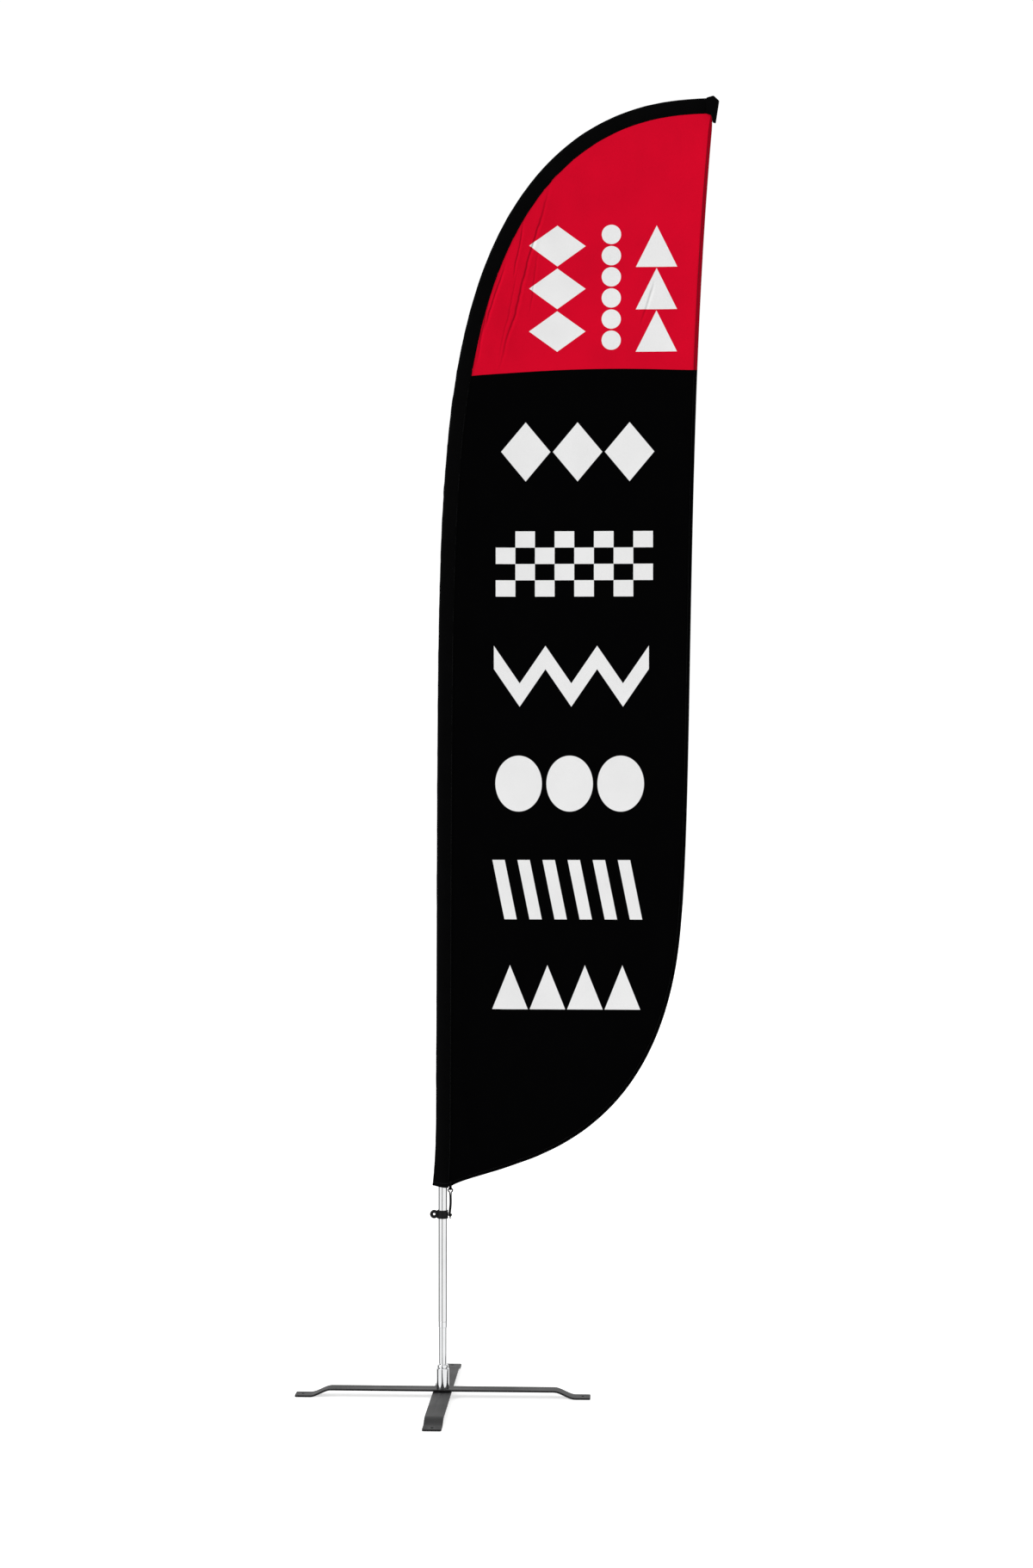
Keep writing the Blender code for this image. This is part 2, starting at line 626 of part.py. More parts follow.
def seam_offset(along):
    """From the pole's axis to the seam where the sleeve meets the panel, pinched at the mouth."""
    straight = SLEEVE_WIDTH - straight_fold(along)
    pinch = SLEEVE_WIDTH - FOLD_AT_FOOT - (SLEEVE_ROUND[0][1] + MOUTH_SEAM)
    return straight - pinch * near_mouth(along)


def round_radius(along):
    """Radius of the sleeve where it wraps the pole, with room for the rods' joint sleeve."""
    least = JOINT_RADIUS + JOINT_ROOM if along < ROD_TOP + JOINT_SLEEVE_LENGTH else 0.0
    for (low, one), (high, two) in zip(SLEEVE_ROUND, SLEEVE_ROUND[1:]):
        if along <= high:
            return max(one + (two - one) * (along - low) / (high - low), least)
    return SLEEVE_ROUND[-1][1]


def sleeve_ring(along, scale, arc_steps=4):
    """One ring of the sleeve: a round back that runs straight to the outer fold and the seam."""
    radius = round_radius(along)
    fold, seam = outer_offset(along), seam_offset(along)
    to_seam = math.acos(radius / seam)
    to_fold = math.pi - math.acos(radius / fold)
    upper = []
    for step in range(arc_steps + 1):
        angle = to_seam + (to_fold - to_seam) * step / arc_steps
        upper.append((radius * math.cos(angle), radius * math.sin(angle)))
    section = [(seam, 0.0), *upper, (-fold, 0.0), *((x, -y) for x, y in reversed(upper))]
    frame = on_pole_frame(along)
    return [frame @ Vector((x * scale, y * scale, 0.0)) for x, y in section]


def flag_sleeve():
    """The sleeve that the pole runs in, open at its mouth and at its tip."""
    shape = bmesh.new()
    walls = []
    for outside in (True, False):
        rings = []
        for along in stations(0.0, SLEEVE_LENGTH):
            scale = 1.0 if outside else 1 - SLEEVE_WALL / round_radius(along)
            rings.append([shape.verts.new(point) for point in sleeve_ring(along, scale)])
        for one, two in zip(rings, rings[1:]):
            for k in range(len(one)):
                nxt = (k + 1) % len(one)
                shape.faces.new((one[k], one[nxt], two[nxt], two[k]))
        walls.append((rings[0], rings[-1]))
    for outer_end, inner_end in zip(*walls):
        for k in range(len(outer_end)):
            nxt = (k + 1) % len(outer_end)
            shape.faces.new((outer_end[k], outer_end[nxt], inner_end[nxt], inner_end[k]))
    place("flag_sleeve", mesh_from(shape, "flag_sleeve"), black_cloth)


def cubic(one, two, three, four, steps):
    """Points on a cubic curve without its last point."""
    points = []
    for step in range(steps):
        t = step / steps
        weights = ((1 - t) ** 3, 3 * t * (1 - t) ** 2, 3 * t * t * (1 - t), t ** 3)
        points.append(sum((Vector(p) * w for p, w in zip((one, two, three, four), weights)),
                          Vector((0.0, 0.0))))
    return points


def seam_x(height):
    """X of the seam, with its gap, at a height near the lower corner."""
    return seam_offset(max(height - SLEEVE_FOOT, 0.0)) + GAP


def edge_guides():
    """Ends and guides of the free edge's two cubic curves, from the tip down."""
    corner = Vector((seam_offset(0.0) + 1.5 * GAP, SLEEVE_FOOT - GAP))
    at_tip = (seam_offset(SLEEVE_LENGTH) + HEM_BELOW_SLEEVE, 0.0, -HEM_BEFORE_POCKET)
    tip = (on_pole_frame(SLEEVE_LENGTH) @ Vector(at_tip)).xz
    shaped = [corner + Vector((u, v)) * (tip - corner) for u, v in EDGE_SHAPE]
    return [tip, *shaped, corner]


def trailing_edge(inset):
    """The flag's free edge from the tip to the lower corner, moved inwards by an inset."""
    guides_on_edge = edge_guides()
    edge = cubic(*guides_on_edge[:4], EDGE_STEPS) + cubic(*guides_on_edge[3:], EDGE_STEPS)
    edge.append(guides_on_edge[-1])
    moved = []
    for k, point in enumerate(edge):
        along = (edge[min(k + 1, len(edge) - 1)] - edge[max(k - 1, 0)]).normalized()
        inner = point + inset * Vector((along.y, -along.x))
        if inner.x < seam_x(inner.y):
            moved.append(Vector((seam_x(inner.y), inner.y)))
            break
        moved.append(inner)
    return moved


def seam_line():
    """The panel's edge beside the sleeve, from the lower corner to the tip."""
    points = []
    for along in stations(0.0, SLEEVE_LENGTH):
        at = on_pole_frame(along) @ Vector((seam_offset(along) + GAP, 0.0, 0.0))
        points.append(Vector((at.x, at.z)))
    return points


def flag_cloth():
    """The printed panel and the hem along its free edge."""
    inner = trailing_edge(HEM_WIDTH + GAP)
    seam = [point for point in seam_line()
            if point.y > inner[-1].y + 0.001 and point.x < inner[0].x - 0.003]
    flat_sheet("flag_panel", seam + inner, PANEL_THICK, printed_cloth)
    hem = trailing_edge(0.0) + trailing_edge(HEM_WIDTH)[::-1]
    flat_sheet("trailing_hem", hem, HEM_THICK, black_cloth)


def tip_pocket():
    """Reinforced pocket over the sleeve's end, hanging a little below it."""
    frame = on_pole_frame(SLEEVE_LENGTH)
    shape = bmesh.new()
    bmesh.ops.create_cube(shape, size=1.0)
    bmesh.ops.scale(shape, vec=(POCKET_HEIGHT, POCKET_THICK, POCKET_LENGTH), verts=shape.verts)
    bmesh.ops.bevel(shape, geom=shape.edges[:], offset=0.0015, segments=2, profile=0.5,
                    affect="EDGES")
    middle = POCKET_HEIGHT / 2 - FOLD_AT_TIP
    move = Matrix.Translation((middle, 0.0, GAP + POCKET_LENGTH / 2))
    bmesh.ops.transform(shape, matrix=frame @ move, verts=shape.verts)
    place("tip_pocket", mesh_from(shape, "tip_pocket"), black_cloth)


def strap_left():
    """X of the strap's edge beside the sleeve's seam."""
    return seam_offset(STRAP_HEIGHT) + GAP


def corner_strap():
    """Webbing strap folded under the lower corner, with room for the cord inside it."""
    inside = CORD_RADIUS + GAP
    floor = CORD_HEIGHT - inside - STRAP_ROOM
    top = SLEEVE_FOOT + STRAP_HEIGHT
    wall = inside + STRAP_THICK
    section = ((-wall, top), (-wall, floor - STRAP_THICK), (wall, floor - STRAP_THICK),
               (wall, top), (inside, top), (inside, floor), (-inside, floor), (-inside, top))
    shape = bmesh.new()
    left = strap_left()
    face = shape.faces.new([shape.verts.new((left, y, z)) for y, z in section])
    moved = bmesh.ops.extrude_face_region(shape, geom=[face])["geom"]
    bmesh.ops.translate(shape, vec=(STRAP_WIDTH, 0, 0),
                        verts=[part for part in moved if isinstance(part, bmesh.types.BMVert)])
    place("corner_strap", mesh_from(shape, "corner_strap"), black_cloth)


# ---------------------------------------------------------------- clip and cord
def ear_block(x, radius, towards):
    """A rounded ear in the XZ plane: a disc and the web that ties it to the clip's ring."""
    shape = bmesh.new()
    middle = Matrix.Translation((x, 0.0, CLIP_CENTRE)) @ Matrix.Rotation(math.pi / 2, 4, "X")
    bmesh.ops.create_cone(shape, cap_ends=True, segments=24, radius1=radius, radius2=radius,
                          depth=EAR_THICK, matrix=middle)
    disc = mesh_from(shape, "ear_disc")
    shape = bmesh.new()
    bmesh.ops.create_cube(shape, size=1.0)
    length = abs(towards - x)
    bmesh.ops.scale(shape, vec=(length, EAR_THICK - GAP, WEB_SHARE * 2 * radius),
                    verts=shape.verts)
    bmesh.ops.translate(shape, vec=((x + towards) / 2, 0, CLIP_CENTRE), verts=shape.verts)
    return disc, mesh_from(shape, "ear_web")


def tension_clip():
    """Plastic ring around the pole with a plain ear on one side and the cord's eye opposite."""
    bore = TUBE_RADIUS + GAP
    outer = bore + CLIP_WALL
    low, high = CLIP_CENTRE - CLIP_HEIGHT / 2, CLIP_CENTRE + CLIP_HEIGHT / 2
    profile = ((outer - 0.0008, high), (outer, high - 0.0008), (outer, low + 0.0008),
               (outer - 0.0008, low), (bore, low), (bore, high))
    clip = turned("tension_clip", profile, black_plastic)
    wall_middle = bore + CLIP_WALL / 2
    pieces = (*ear_block(EAR_X, EAR_RADIUS, -wall_middle),
              *ear_block(EYE_X, EYE_RADIUS, wall_middle))
    for count, mesh in enumerate(pieces):
        block = as_guide(place(f"clip_ear_{count}", mesh, None, guides))
        boolean(clip, block, "UNION")
    through = 4 * EAR_THICK
    for count, (x, radius) in enumerate(((EAR_X, EAR_HOLE), (EYE_X, EYE_HOLE))):
        hole = cutter_cylinder(f"clip_hole_{count}", radius, through, (x, 0, CLIP_CENTRE), "Y")
        boolean(clip, hole, "DIFFERENCE")
    bore_cut = cutter_cylinder("clip_bore", bore, 2 * CLIP_HEIGHT, (0, 0, CLIP_CENTRE),
                               steps=ROUND)
    boolean(clip, bore_cut, "DIFFERENCE")


def cord_route():
    """The elastic's route: tail, through the eye, up, through the strap and down again."""
    left = strap_left()
    right = left + STRAP_WIDTH
    low, high = CLIP_CENTRE, CORD_HEIGHT
    return [
        (EYE_X + 0.0040, -CORD_FRONT - 0.0016, low - 0.0115),
        (EYE_X + 0.0022, -CORD_FRONT - 0.0008, low - 0.0050),
        (EYE_X + 0.0004, -CORD_FRONT + 0.0006, low - 0.0006),
        (EYE_X, -0.0015, low),
        (EYE_X, 0.0015, low),
        (EYE_X, CORD_FRONT - 0.0004, low + 0.0012),
        (EYE_X - 0.0001, CORD_FRONT + 0.0004, low + 0.0060),
        (EYE_X - 0.0008, CORD_FRONT - 0.0012, low + 0.0300),
        (left - 0.0024, 0.0006, high - 0.0110),
        (left - 0.0021, 0.0, high - 0.0040),
        (left - 0.0006, 0.0, high - 0.0008),
        ((left + right) / 2, 0.0, high),
        (right + 0.0006, 0.0, high - 0.0008),
        (right + 0.0023, 0.0, high - 0.0040),
        (right + 0.0026, -0.0008, high - 0.0110),
        (EYE_X + 0.0058, -CORD_FRONT - 0.0006, low + 0.0290),
        (EYE_X + 0.0040, -CORD_FRONT - 0.0022, low + 0.0080),
        (EYE_X + 0.0036, -CORD_FRONT - 0.0034, low + 0.0010),
    ]


def smooth_route(route, spacing):
    """Points read from a smooth curve through the route's own points."""
    points = [Vector(point) for point in route]
    padded = [points[0] * 2 - points[1], *points, points[-1] * 2 - points[-2]]
    smooth = []
    for before, one, two, after in zip(padded, padded[1:], padded[2:], padded[3:]):
        steps = max(1, round((two - one).length / spacing))
        for step in range(steps):
            t = step / steps
            smooth.append(0.5 * (2 * one + (two - before) * t
                                 + (2 * before - 5 * one + 4 * two - after) * t ** 2
                                 + (3 * one - before - 3 * two + after) * t ** 3))
    return smooth + [points[-1]]


def elastic_cord():
    """Elastic from the clip's eye to the flag's lower corner and back."""
    curve = bpy.data.curves.new("elastic_cord", "CURVE")
    curve.dimensions = "3D"
    curve.bevel_depth = CORD_RADIUS
    curve.bevel_resolution = 2
    curve.use_fill_caps = True
    line = curve.splines.new("POLY")
    points = smooth_route(cord_route(), 2 * CORD_RADIUS)
    line.points.add(len(points) - 1)
    for point, at in zip(line.points, points):
        point.co = (*at, 1.0)
    piece = place("elastic_cord", curve, black_cloth)
    weld = piece.modifiers.new("weld", "WELD")
    weld.merge_threshold = 0.00001


# ---------------------------------------------------------------- joints' places
def joint_place(name, height, children):
    """An empty on a joint's axis that carries the pieces that move there."""
    empty = bpy.data.objects.new(name, None)
    empty.location = (0.0, 0.0, height)
    parts.objects.link(empty)
    bpy.context.view_layer.update()
    for child in children:
        piece = bpy.data.objects[child]
        keep = piece.matrix_world.copy()
        piece.parent = empty
        piece.matrix_parent_inverse = empty.matrix_world.inverted()
        piece.matrix_world = keep
    return empty


def main():
    start_scene()
    leg("upper_leg", UPPER_RISE, 0.0)
    leg("lower_leg", LOWER_RISE, math.pi / 2)
    pivot_pieces()
    housing()
    bearing_stack()
    spindle()
    pole()
    flag_sleeve()
    flag_cloth()
    tip_pocket()
    corner_strap()
    tension_clip()
    elastic_cord()
    joint_place("pivot_axis", LOWER_RISE, ["lower_leg"])
    joint_place("spindle_axis", UPPER_BEARING, ["spindle_shaft", "spindle_nut", "stop_collar"])
    joint_place("clip_axis", CLIP_CENTRE, ["tension_clip"])


main()
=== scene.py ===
"""Feather flag with its pole on a folding cross base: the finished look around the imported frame.

Everything is in metres with +Z up. The origin is on the pole's axis at floor level, the flag
lies in the XZ plane and flies towards +X.
"""
import json
import logging
import math
from dataclasses import dataclass, field
from enum import Enum
from typing import Callable, Iterable, Sequence

import bmesh
import bpy
import numpy as np
from mathutils import Matrix, Vector, noise


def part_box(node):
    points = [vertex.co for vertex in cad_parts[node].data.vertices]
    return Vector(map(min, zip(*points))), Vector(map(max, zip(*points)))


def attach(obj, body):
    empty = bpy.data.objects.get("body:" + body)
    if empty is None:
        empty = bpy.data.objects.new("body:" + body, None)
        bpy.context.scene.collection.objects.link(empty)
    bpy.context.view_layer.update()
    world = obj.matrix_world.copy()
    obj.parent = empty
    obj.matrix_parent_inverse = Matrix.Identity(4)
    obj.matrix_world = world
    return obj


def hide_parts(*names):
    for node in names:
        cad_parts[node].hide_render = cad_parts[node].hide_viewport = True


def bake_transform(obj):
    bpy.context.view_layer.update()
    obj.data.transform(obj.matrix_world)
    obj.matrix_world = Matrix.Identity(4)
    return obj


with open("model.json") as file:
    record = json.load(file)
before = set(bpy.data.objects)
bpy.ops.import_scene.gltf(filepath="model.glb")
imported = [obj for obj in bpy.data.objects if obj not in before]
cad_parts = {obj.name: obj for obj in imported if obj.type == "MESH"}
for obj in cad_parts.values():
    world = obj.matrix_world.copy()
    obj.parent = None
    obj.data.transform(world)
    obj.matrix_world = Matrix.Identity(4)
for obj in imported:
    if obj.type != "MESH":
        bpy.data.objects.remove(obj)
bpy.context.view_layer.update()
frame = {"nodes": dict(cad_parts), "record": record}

log = logging.getLogger("feather_flag")
GAP = 0.0003                      # between two pieces that touch
TINY = 0.000001                   # vertices nearer than this are one
SLEEVE_RUN = 3.316                # the sleeve's length along the pole
STITCH_RUN = 0.0032               # from one stitch to the next
STITCH_LENGTH = 0.0023
STITCH_LIFT = 0.0002              # how far a stitch's middle stands off its cloth
THREAD_THICK = 0.0006
FULL_TURN = 2 * math.pi
WHITE = (1.0, 1.0, 1.0, 1.0)
Point = tuple[float, float]
Socket = bpy.types.NodeSocket
Node = bpy.types.Node
Tree = bpy.types.NodeTree
Material = bpy.types.Material
Piece = bpy.types.Object


class Body(str, Enum):
    """The moving bodies that pieces ride on."""

    BASE = "base"
    LOWER_LEG = "lower_leg"
    SPINDLE = "spindle"
    POLE = "pole"
    CLIP = "clip"


class Slot(str, Enum):
    """The record's material slots."""

    POWDER_COAT = "powder_coat"
    CHROME = "chrome"
    STEEL = "steel"
    ALUMINIUM = "aluminium"
    BLACK_PLASTIC = "black_plastic"
    FIBREGLASS = "fibreglass"
    PRINTED_CLOTH = "printed_cloth"
    BLACK_CLOTH = "black_cloth"
    ELASTIC = "elastic"


# ---- node wiring
class Graph:
    """A node tree while it is being wired."""

    SHARE, ONE, TWO, MIXED = 0, 6, 7, 2          # a Mix node's colour sockets

    def __init__(self, tree: Tree) -> None:
        """Start wiring a tree."""
        self.tree = tree

    def add(self, kind: str, inputs: dict[str | int, object] | None = None,
            **settings: object) -> Node:
        """Add a node.

        Args:
            kind: the node's type without its ShaderNode prefix.
            inputs: sockets by name or number, each with a value or a socket to link from.
            settings: the node's own properties.

        Returns:
            The new node.
        """
        node = self.tree.nodes.new(kind if kind.startswith("Node") else "ShaderNode" + kind)
        for name, value in settings.items():
            setattr(node, name, value)
        self.wire(node, inputs or {})
        return node

    def wire(self, node: Node, inputs: dict[str | int, object]) -> None:
        """Feed several of a node's sockets."""
        for name, value in inputs.items():
            self.feed(node.inputs[name], value)

    def feed(self, socket: Socket, value: object) -> None:
        """Link a socket from another, or give it a plain value."""
        if isinstance(value, Socket):
            self.tree.links.new(value, socket)
        else:
            socket.default_value = value

    def math(self, operation: str, *values: object, clamp: bool = False) -> Socket:
        """Join values with a Math node and return its output."""
        inputs = dict(enumerate(values))
        return self.add("Math", inputs, operation=operation, use_clamp=clamp).outputs[0]

    def vector(self, operation: str, *values: object) -> Node:
        """Join vectors with a Vector Math node and return the node."""
        return self.add("VectorMath", dict(enumerate(values)), operation=operation)

    def mix(self, share: object, one: object, two: object, blend: str = "MIX") -> Socket:
        """Mix two colours by a share and return the colour."""
        inputs = {self.SHARE: share, self.ONE: one, self.TWO: two}
        return self.add("Mix", inputs, data_type="RGBA", blend_type=blend).outputs[self.MIXED]

    def shade(self, tone: object, share: Socket) -> Socket:
        """Darken a colour to a share of itself and return the colour."""
        grey = self.add("CombineColor", dict.fromkeys(range(3), share)).outputs[0]
        return self.mix(1.0, tone, grey, "MULTIPLY")

    def remap(self, value: object, low: float, high: float, to_low: float = 0.0,
              to_high: float = 1.0) -> Socket:
        """Map a value from one range to another, held inside it."""
        inputs = {0: value, 1: low, 2: high, 3: to_low, 4: to_high}
        return self.add("MapRange", inputs).outputs[0]

    def group(self, tree: Tree, **inputs: object) -> Node:
        """Place a node group; an input's underscores stand for spaces.

        Args:
            tree: the node group.
            inputs: its inputs by name.

        Returns:
            The new group node.
        """
        named = {name.replace("_", " "): value for name, value in inputs.items()}
        return self.add("Group", named, node_tree=tree)


class GroupKind(Enum):
    """Sockets that a shared group may have."""

    NUMBER = "NodeSocketFloat"
    VECTOR = "NodeSocketVector"


def start_group(name: str, inputs: dict[str, GroupKind],
                outputs: Sequence[str]) -> tuple[Graph, dict[str, Socket], dict[str, Socket]]:
    """Make an empty node group.

    Args:
        name: the group's name.
        inputs: names and kinds of its inputs.
        outputs: names of its outputs, which are all numbers.

    Returns:
        Its graph, what it is given and what it has to make, by name.
    """
    tree = bpy.data.node_groups.new(name, "ShaderNodeTree")
    for label, kind in inputs.items():
        tree.interface.new_socket(name=label, in_out="INPUT", socket_type=kind.value)
    for label in outputs:
        tree.interface.new_socket(name=label, in_out="OUTPUT", socket_type=GroupKind.NUMBER.value)
    graph = Graph(tree)
    given, made = graph.add("NodeGroupInput").outputs, graph.add("NodeGroupOutput").inputs
    return graph, {each.name: each for each in given}, {each.name: each for each in made}


class MarkShape(Enum):
    """Plain figures that the print repeats in its cells."""

    LOZENGE = "lozenge"
    DISC = "disc"
    CHECK = "check"
    PENNANT = "pennant"
    SLANT = "slant"
    ZIGZAG = "zigzag"


class SharedEffects:
    """Node groups that more than one finish uses, each built once."""

    def __init__(self) -> None:
        """Build every group."""
        self.weave = self.build_weave()
        self.mottle = self.build_mottle()
        self.streaks = self.build_streaks()
        self.grit = self.build_grit()
        self.crease = self.build_crease()
        self.marks = {shape: self.build_mark(shape) for shape in MarkShape}

    @staticmethod
    def build_weave() -> Tree:
        """Plain weave that crosses over and under, with slight slubs in the yarn.

        Returns:
            A group with the weave's height and its painted shade, darker where the weave is low.
        """
        kinds = {"Vector": GroupKind.VECTOR, "Pitch": GroupKind.NUMBER}
        graph, given, made = start_group("weave", kinds, ("Height", "Shade"))
        rate = graph.math("DIVIDE", math.pi, given["Pitch"])
        axes = graph.add("SeparateXYZ", {0: given["Vector"]})
        waves = [graph.math("SINE", graph.math("MULTIPLY", axes.outputs[k], rate)) for k in (0, 1)]
        crossing = graph.math("MULTIPLY", *waves)
        yarn = graph.add("TexNoise", {"Vector": given["Vector"], "Scale": 900.0,
                                      "Detail": 2.0})
        height = graph.math("MULTIPLY_ADD", crossing, 0.5, yarn.outputs[0])
        graph.feed(made["Height"], height)
        # Shade is painted shade from the weave's height: darker in its hollows, lighter on its
        # crossings
        graph.feed(made["Shade"], graph.remap(height, 0.0, 1.1, 0.82, 1.12))
        return graph.tree

    @staticmethod
    def build_mottle() -> Tree:
        """Soft uneven patches between a low and a high value.

        Returns:
            A group whose Value wanders from Low to High.
        """
        kinds = {"Vector": GroupKind.VECTOR, "Scale": GroupKind.NUMBER, "Low": GroupKind.NUMBER,
                 "High": GroupKind.NUMBER}
        graph, given, made = start_group("mottle", kinds, ("Value",))
        cloud = graph.add("TexNoise", {"Vector": given["Vector"],
                                       "Scale": given["Scale"], "Detail": 5.0})
        spread = graph.remap(cloud.outputs[0], 0.3, 0.7)
        reach = graph.math("SUBTRACT", given["High"], given["Low"])
        value = graph.math("MULTIPLY_ADD", spread, reach, given["Low"])
        graph.feed(made["Value"], value)
        return graph.tree

    @staticmethod
    def build_crease() -> Tree:
        """Painted shade and painted highlight for a pressed fold between two places: a dark line of
        painted shade and a painted highlight beside it.

        Returns:
            A group with the masks of the fold's painted shade and painted highlight.
        """
        kinds = {"Vector": GroupKind.VECTOR, "Start": GroupKind.VECTOR, "End": GroupKind.VECTOR,
                 "Half": GroupKind.NUMBER}
        graph, given, made = start_group("crease", kinds, ("Dark", "Light"))
        place, start, end = (given[name] for name in ("Vector", "Start", "End"))
        run = graph.vector("SUBTRACT", end, start).outputs[0]
        away = graph.vector("SUBTRACT", place, start).outputs[0]
        length = graph.vector("LENGTH", run).outputs["Value"]
        reach = graph.vector("DOT_PRODUCT", away, run).outputs["Value"]
        share = graph.math("DIVIDE", reach, graph.math("MULTIPLY", length, length), clamp=True)
        window = graph.math("MULTIPLY", graph.math("MULTIPLY", share, 5.0),
                            graph.math("SUBTRACT", 1.0, share), clamp=True)
        cross = graph.vector("CROSS_PRODUCT", away, run).outputs[0]
        side = graph.math("DIVIDE", graph.add("SeparateXYZ", {0: cross}).outputs[2], length)
        wander = graph.add("TexNoise", {"Vector": place, "Scale": 9.0, "Detail": 3.0}).outputs[0]
        side = graph.math("MULTIPLY_ADD", graph.math("SUBTRACT", wander, 0.5), 0.022, side)
        # Dark is the painted shade on the fold's line, Light the painted highlight beside it
        for name, middle, wide in (("Dark", 0.0, 1.0), ("Light", -2.2, 1.6)):
            off = graph.math("SUBTRACT", graph.math("DIVIDE", side, given["Half"]), middle)
            off = graph.math("DIVIDE", off, wide)
            square = graph.math("MULTIPLY", off, off)
            bell = graph.math("EXPONENT", graph.math("MULTIPLY", square, -1.0))
            graph.feed(made[name], graph.math("MULTIPLY", bell, window))
        return graph.tree

    @staticmethod
    def build_streaks() -> Tree:
        """Fine lines drawn out along Z, as drawing and polishing leave on metal.

        Returns:
            A group with the lines and a mask of scuffs.
        """
        kinds = {"Vector": GroupKind.VECTOR, "Scale": GroupKind.NUMBER}
        graph, given, made = start_group("streaks", kinds, ("Lines", "Scuffs"))
        drawn = graph.add("Mapping", {"Vector": given["Vector"],
                                      "Scale": (1.0, 1.0, 0.015)})
        lines = graph.add("TexNoise", {"Vector": drawn.outputs[0],
                                       "Scale": given["Scale"], "Detail": 3.0})
        patch = graph.add("TexNoise", {"Vector": given["Vector"], "Scale": 60.0,
                                       "Detail": 6.0, "Roughness": 0.7})
        graph.feed(made["Lines"], lines.outputs[0])
        graph.feed(made["Scuffs"], graph.remap(patch.outputs[0], 0.56, 0.68))
        return graph.tree

    @staticmethod
    def build_grit() -> Tree:
        """Fine grains standing on a surface, as on powder coat and moulded plastic.

        Returns:
            A group with the grains' height and a mask of specks.
        """
        kinds = {"Vector": GroupKind.VECTOR, "Scale": GroupKind.NUMBER}
        graph, given, made = start_group("grit", kinds, ("Height", "Specks"))
        cells = graph.add("TexVoronoi", {"Vector": given["Vector"],
                                         "Scale": given["Scale"]})
        grains = graph.add("TexNoise", {"Vector": given["Vector"],
                                        "Scale": given["Scale"], "Detail": 4.0})
        graph.feed(made["Height"],
                   graph.math("ADD", cells.outputs["Distance"], grains.outputs[0]))
        graph.feed(made["Specks"], graph.remap(grains.outputs[0], 0.58, 0.66))
        return graph.tree

    @staticmethod
    def build_mark(shape: MarkShape) -> Tree:
        """A block of equal cells, each with one plain figure in it.

        Args:
            shape: the figure.

        Returns:
            A group whose Mask is 1 inside the figures.
        """
        lean, peak_height, sharpness = 0.24, 1.2, 60.0
        names = ("Left", "Low", "Cell Width", "Cell Height", "Columns", "Rows", "Fill")
        kinds = {"Vector": GroupKind.VECTOR, **{name: GroupKind.NUMBER for name in names}}
        graph, given, made = start_group("mark_" + shape.value, kinds, ("Mask",))
        axes = graph.add("SeparateXYZ", {0: given["Vector"]})
        shares, inside = [], []
        for axis, low, size, count in ((0, "Left", "Cell Width", "Columns"),
                                       (1, "Low", "Cell Height", "Rows")):
            offset = graph.math("SUBTRACT", axes.outputs[axis], given[low])
            cell = graph.math("DIVIDE", offset, given[size])
            above = graph.math("GREATER_THAN", cell, 0.0)
            below = graph.math("LESS_THAN", cell, given[count])
            inside.append(graph.math("MULTIPLY", above, below))
            part = graph.math("FRACT", cell)
            shares.append(graph.math("MULTIPLY_ADD", part, 2.0, -1.0))
        across, up = shares
        wide, tall = (graph.math("ABSOLUTE", share) for share in shares)
        if shape is MarkShape.LOZENGE:
            far = graph.math("ADD", wide, tall)
        elif shape is MarkShape.DISC:
            squares = [graph.math("MULTIPLY", share, share) for share in shares]
            far = graph.math("SQRT", graph.math("ADD", *squares))
        elif shape is MarkShape.CHECK:
            far = graph.math("MULTIPLY_ADD", graph.math("SIGN", graph.math("MULTIPLY", *shares)),
                             -0.5, 0.5)
        elif shape is MarkShape.PENNANT:
            far = graph.math("MULTIPLY_ADD", up, 0.5, graph.math("ADD", wide, 0.5))
        elif shape is MarkShape.SLANT:
            stripe = graph.math("FRACT", graph.math("MULTIPLY_ADD", up, lean, across))
            far = graph.math("ABSOLUTE", graph.math("MULTIPLY_ADD", stripe, 2.0, -1.0))
        else:
            peak = graph.math("MULTIPLY_ADD", wide, peak_height, -peak_height / 2)
            far = graph.math("ABSOLUTE", graph.math("SUBTRACT", up, peak))
        within = graph.math("MULTIPLY", *inside)
        depth = graph.math("SUBTRACT", given["Fill"], far)
        figure = graph.math("MULTIPLY", depth, sharpness, clamp=True)
        graph.feed(made["Mask"], graph.math("MULTIPLY", figure, within))
        return graph.tree


EFFECTS = SharedEffects()


def start_material(name: str) -> tuple[Material, Graph, Node]:
    """Make a node material and return it with its graph and its Principled BSDF.

    Args:
        name: the material's name.

    Returns:
        The material, its graph and its shader node.
    """
    made = bpy.data.materials.new(name)
    made.use_nodes = True
    return made, Graph(made.node_tree), made.node_tree.nodes["Principled BSDF"]


def bump(graph: Graph, height: Socket, strength: float, distance: float) -> Socket:
    """Turn a height into a normal.

    Args:
        graph: the material's graph.
        height: the height, about 0 to 1.
        strength: how much of it shows.
        distance: height in metres that 1 stands for.

    Returns:
        The normal socket.
    """
    inputs = {"Height": height, "Strength": strength, "Distance": distance}
    return graph.add("Bump", inputs).outputs[0]


# ---- finishes
@dataclass(frozen=True)
class Colour:
    """A colour by its linear red, green and blue."""

    red: float
    green: float
    blue: float

    def rgba(self, shade: float = 1.0) -> tuple[float, float, float, float]:
        """The colour made darker or lighter, with full alpha."""
        return self.red * shade, self.green * shade, self.blue * shade, 1.0


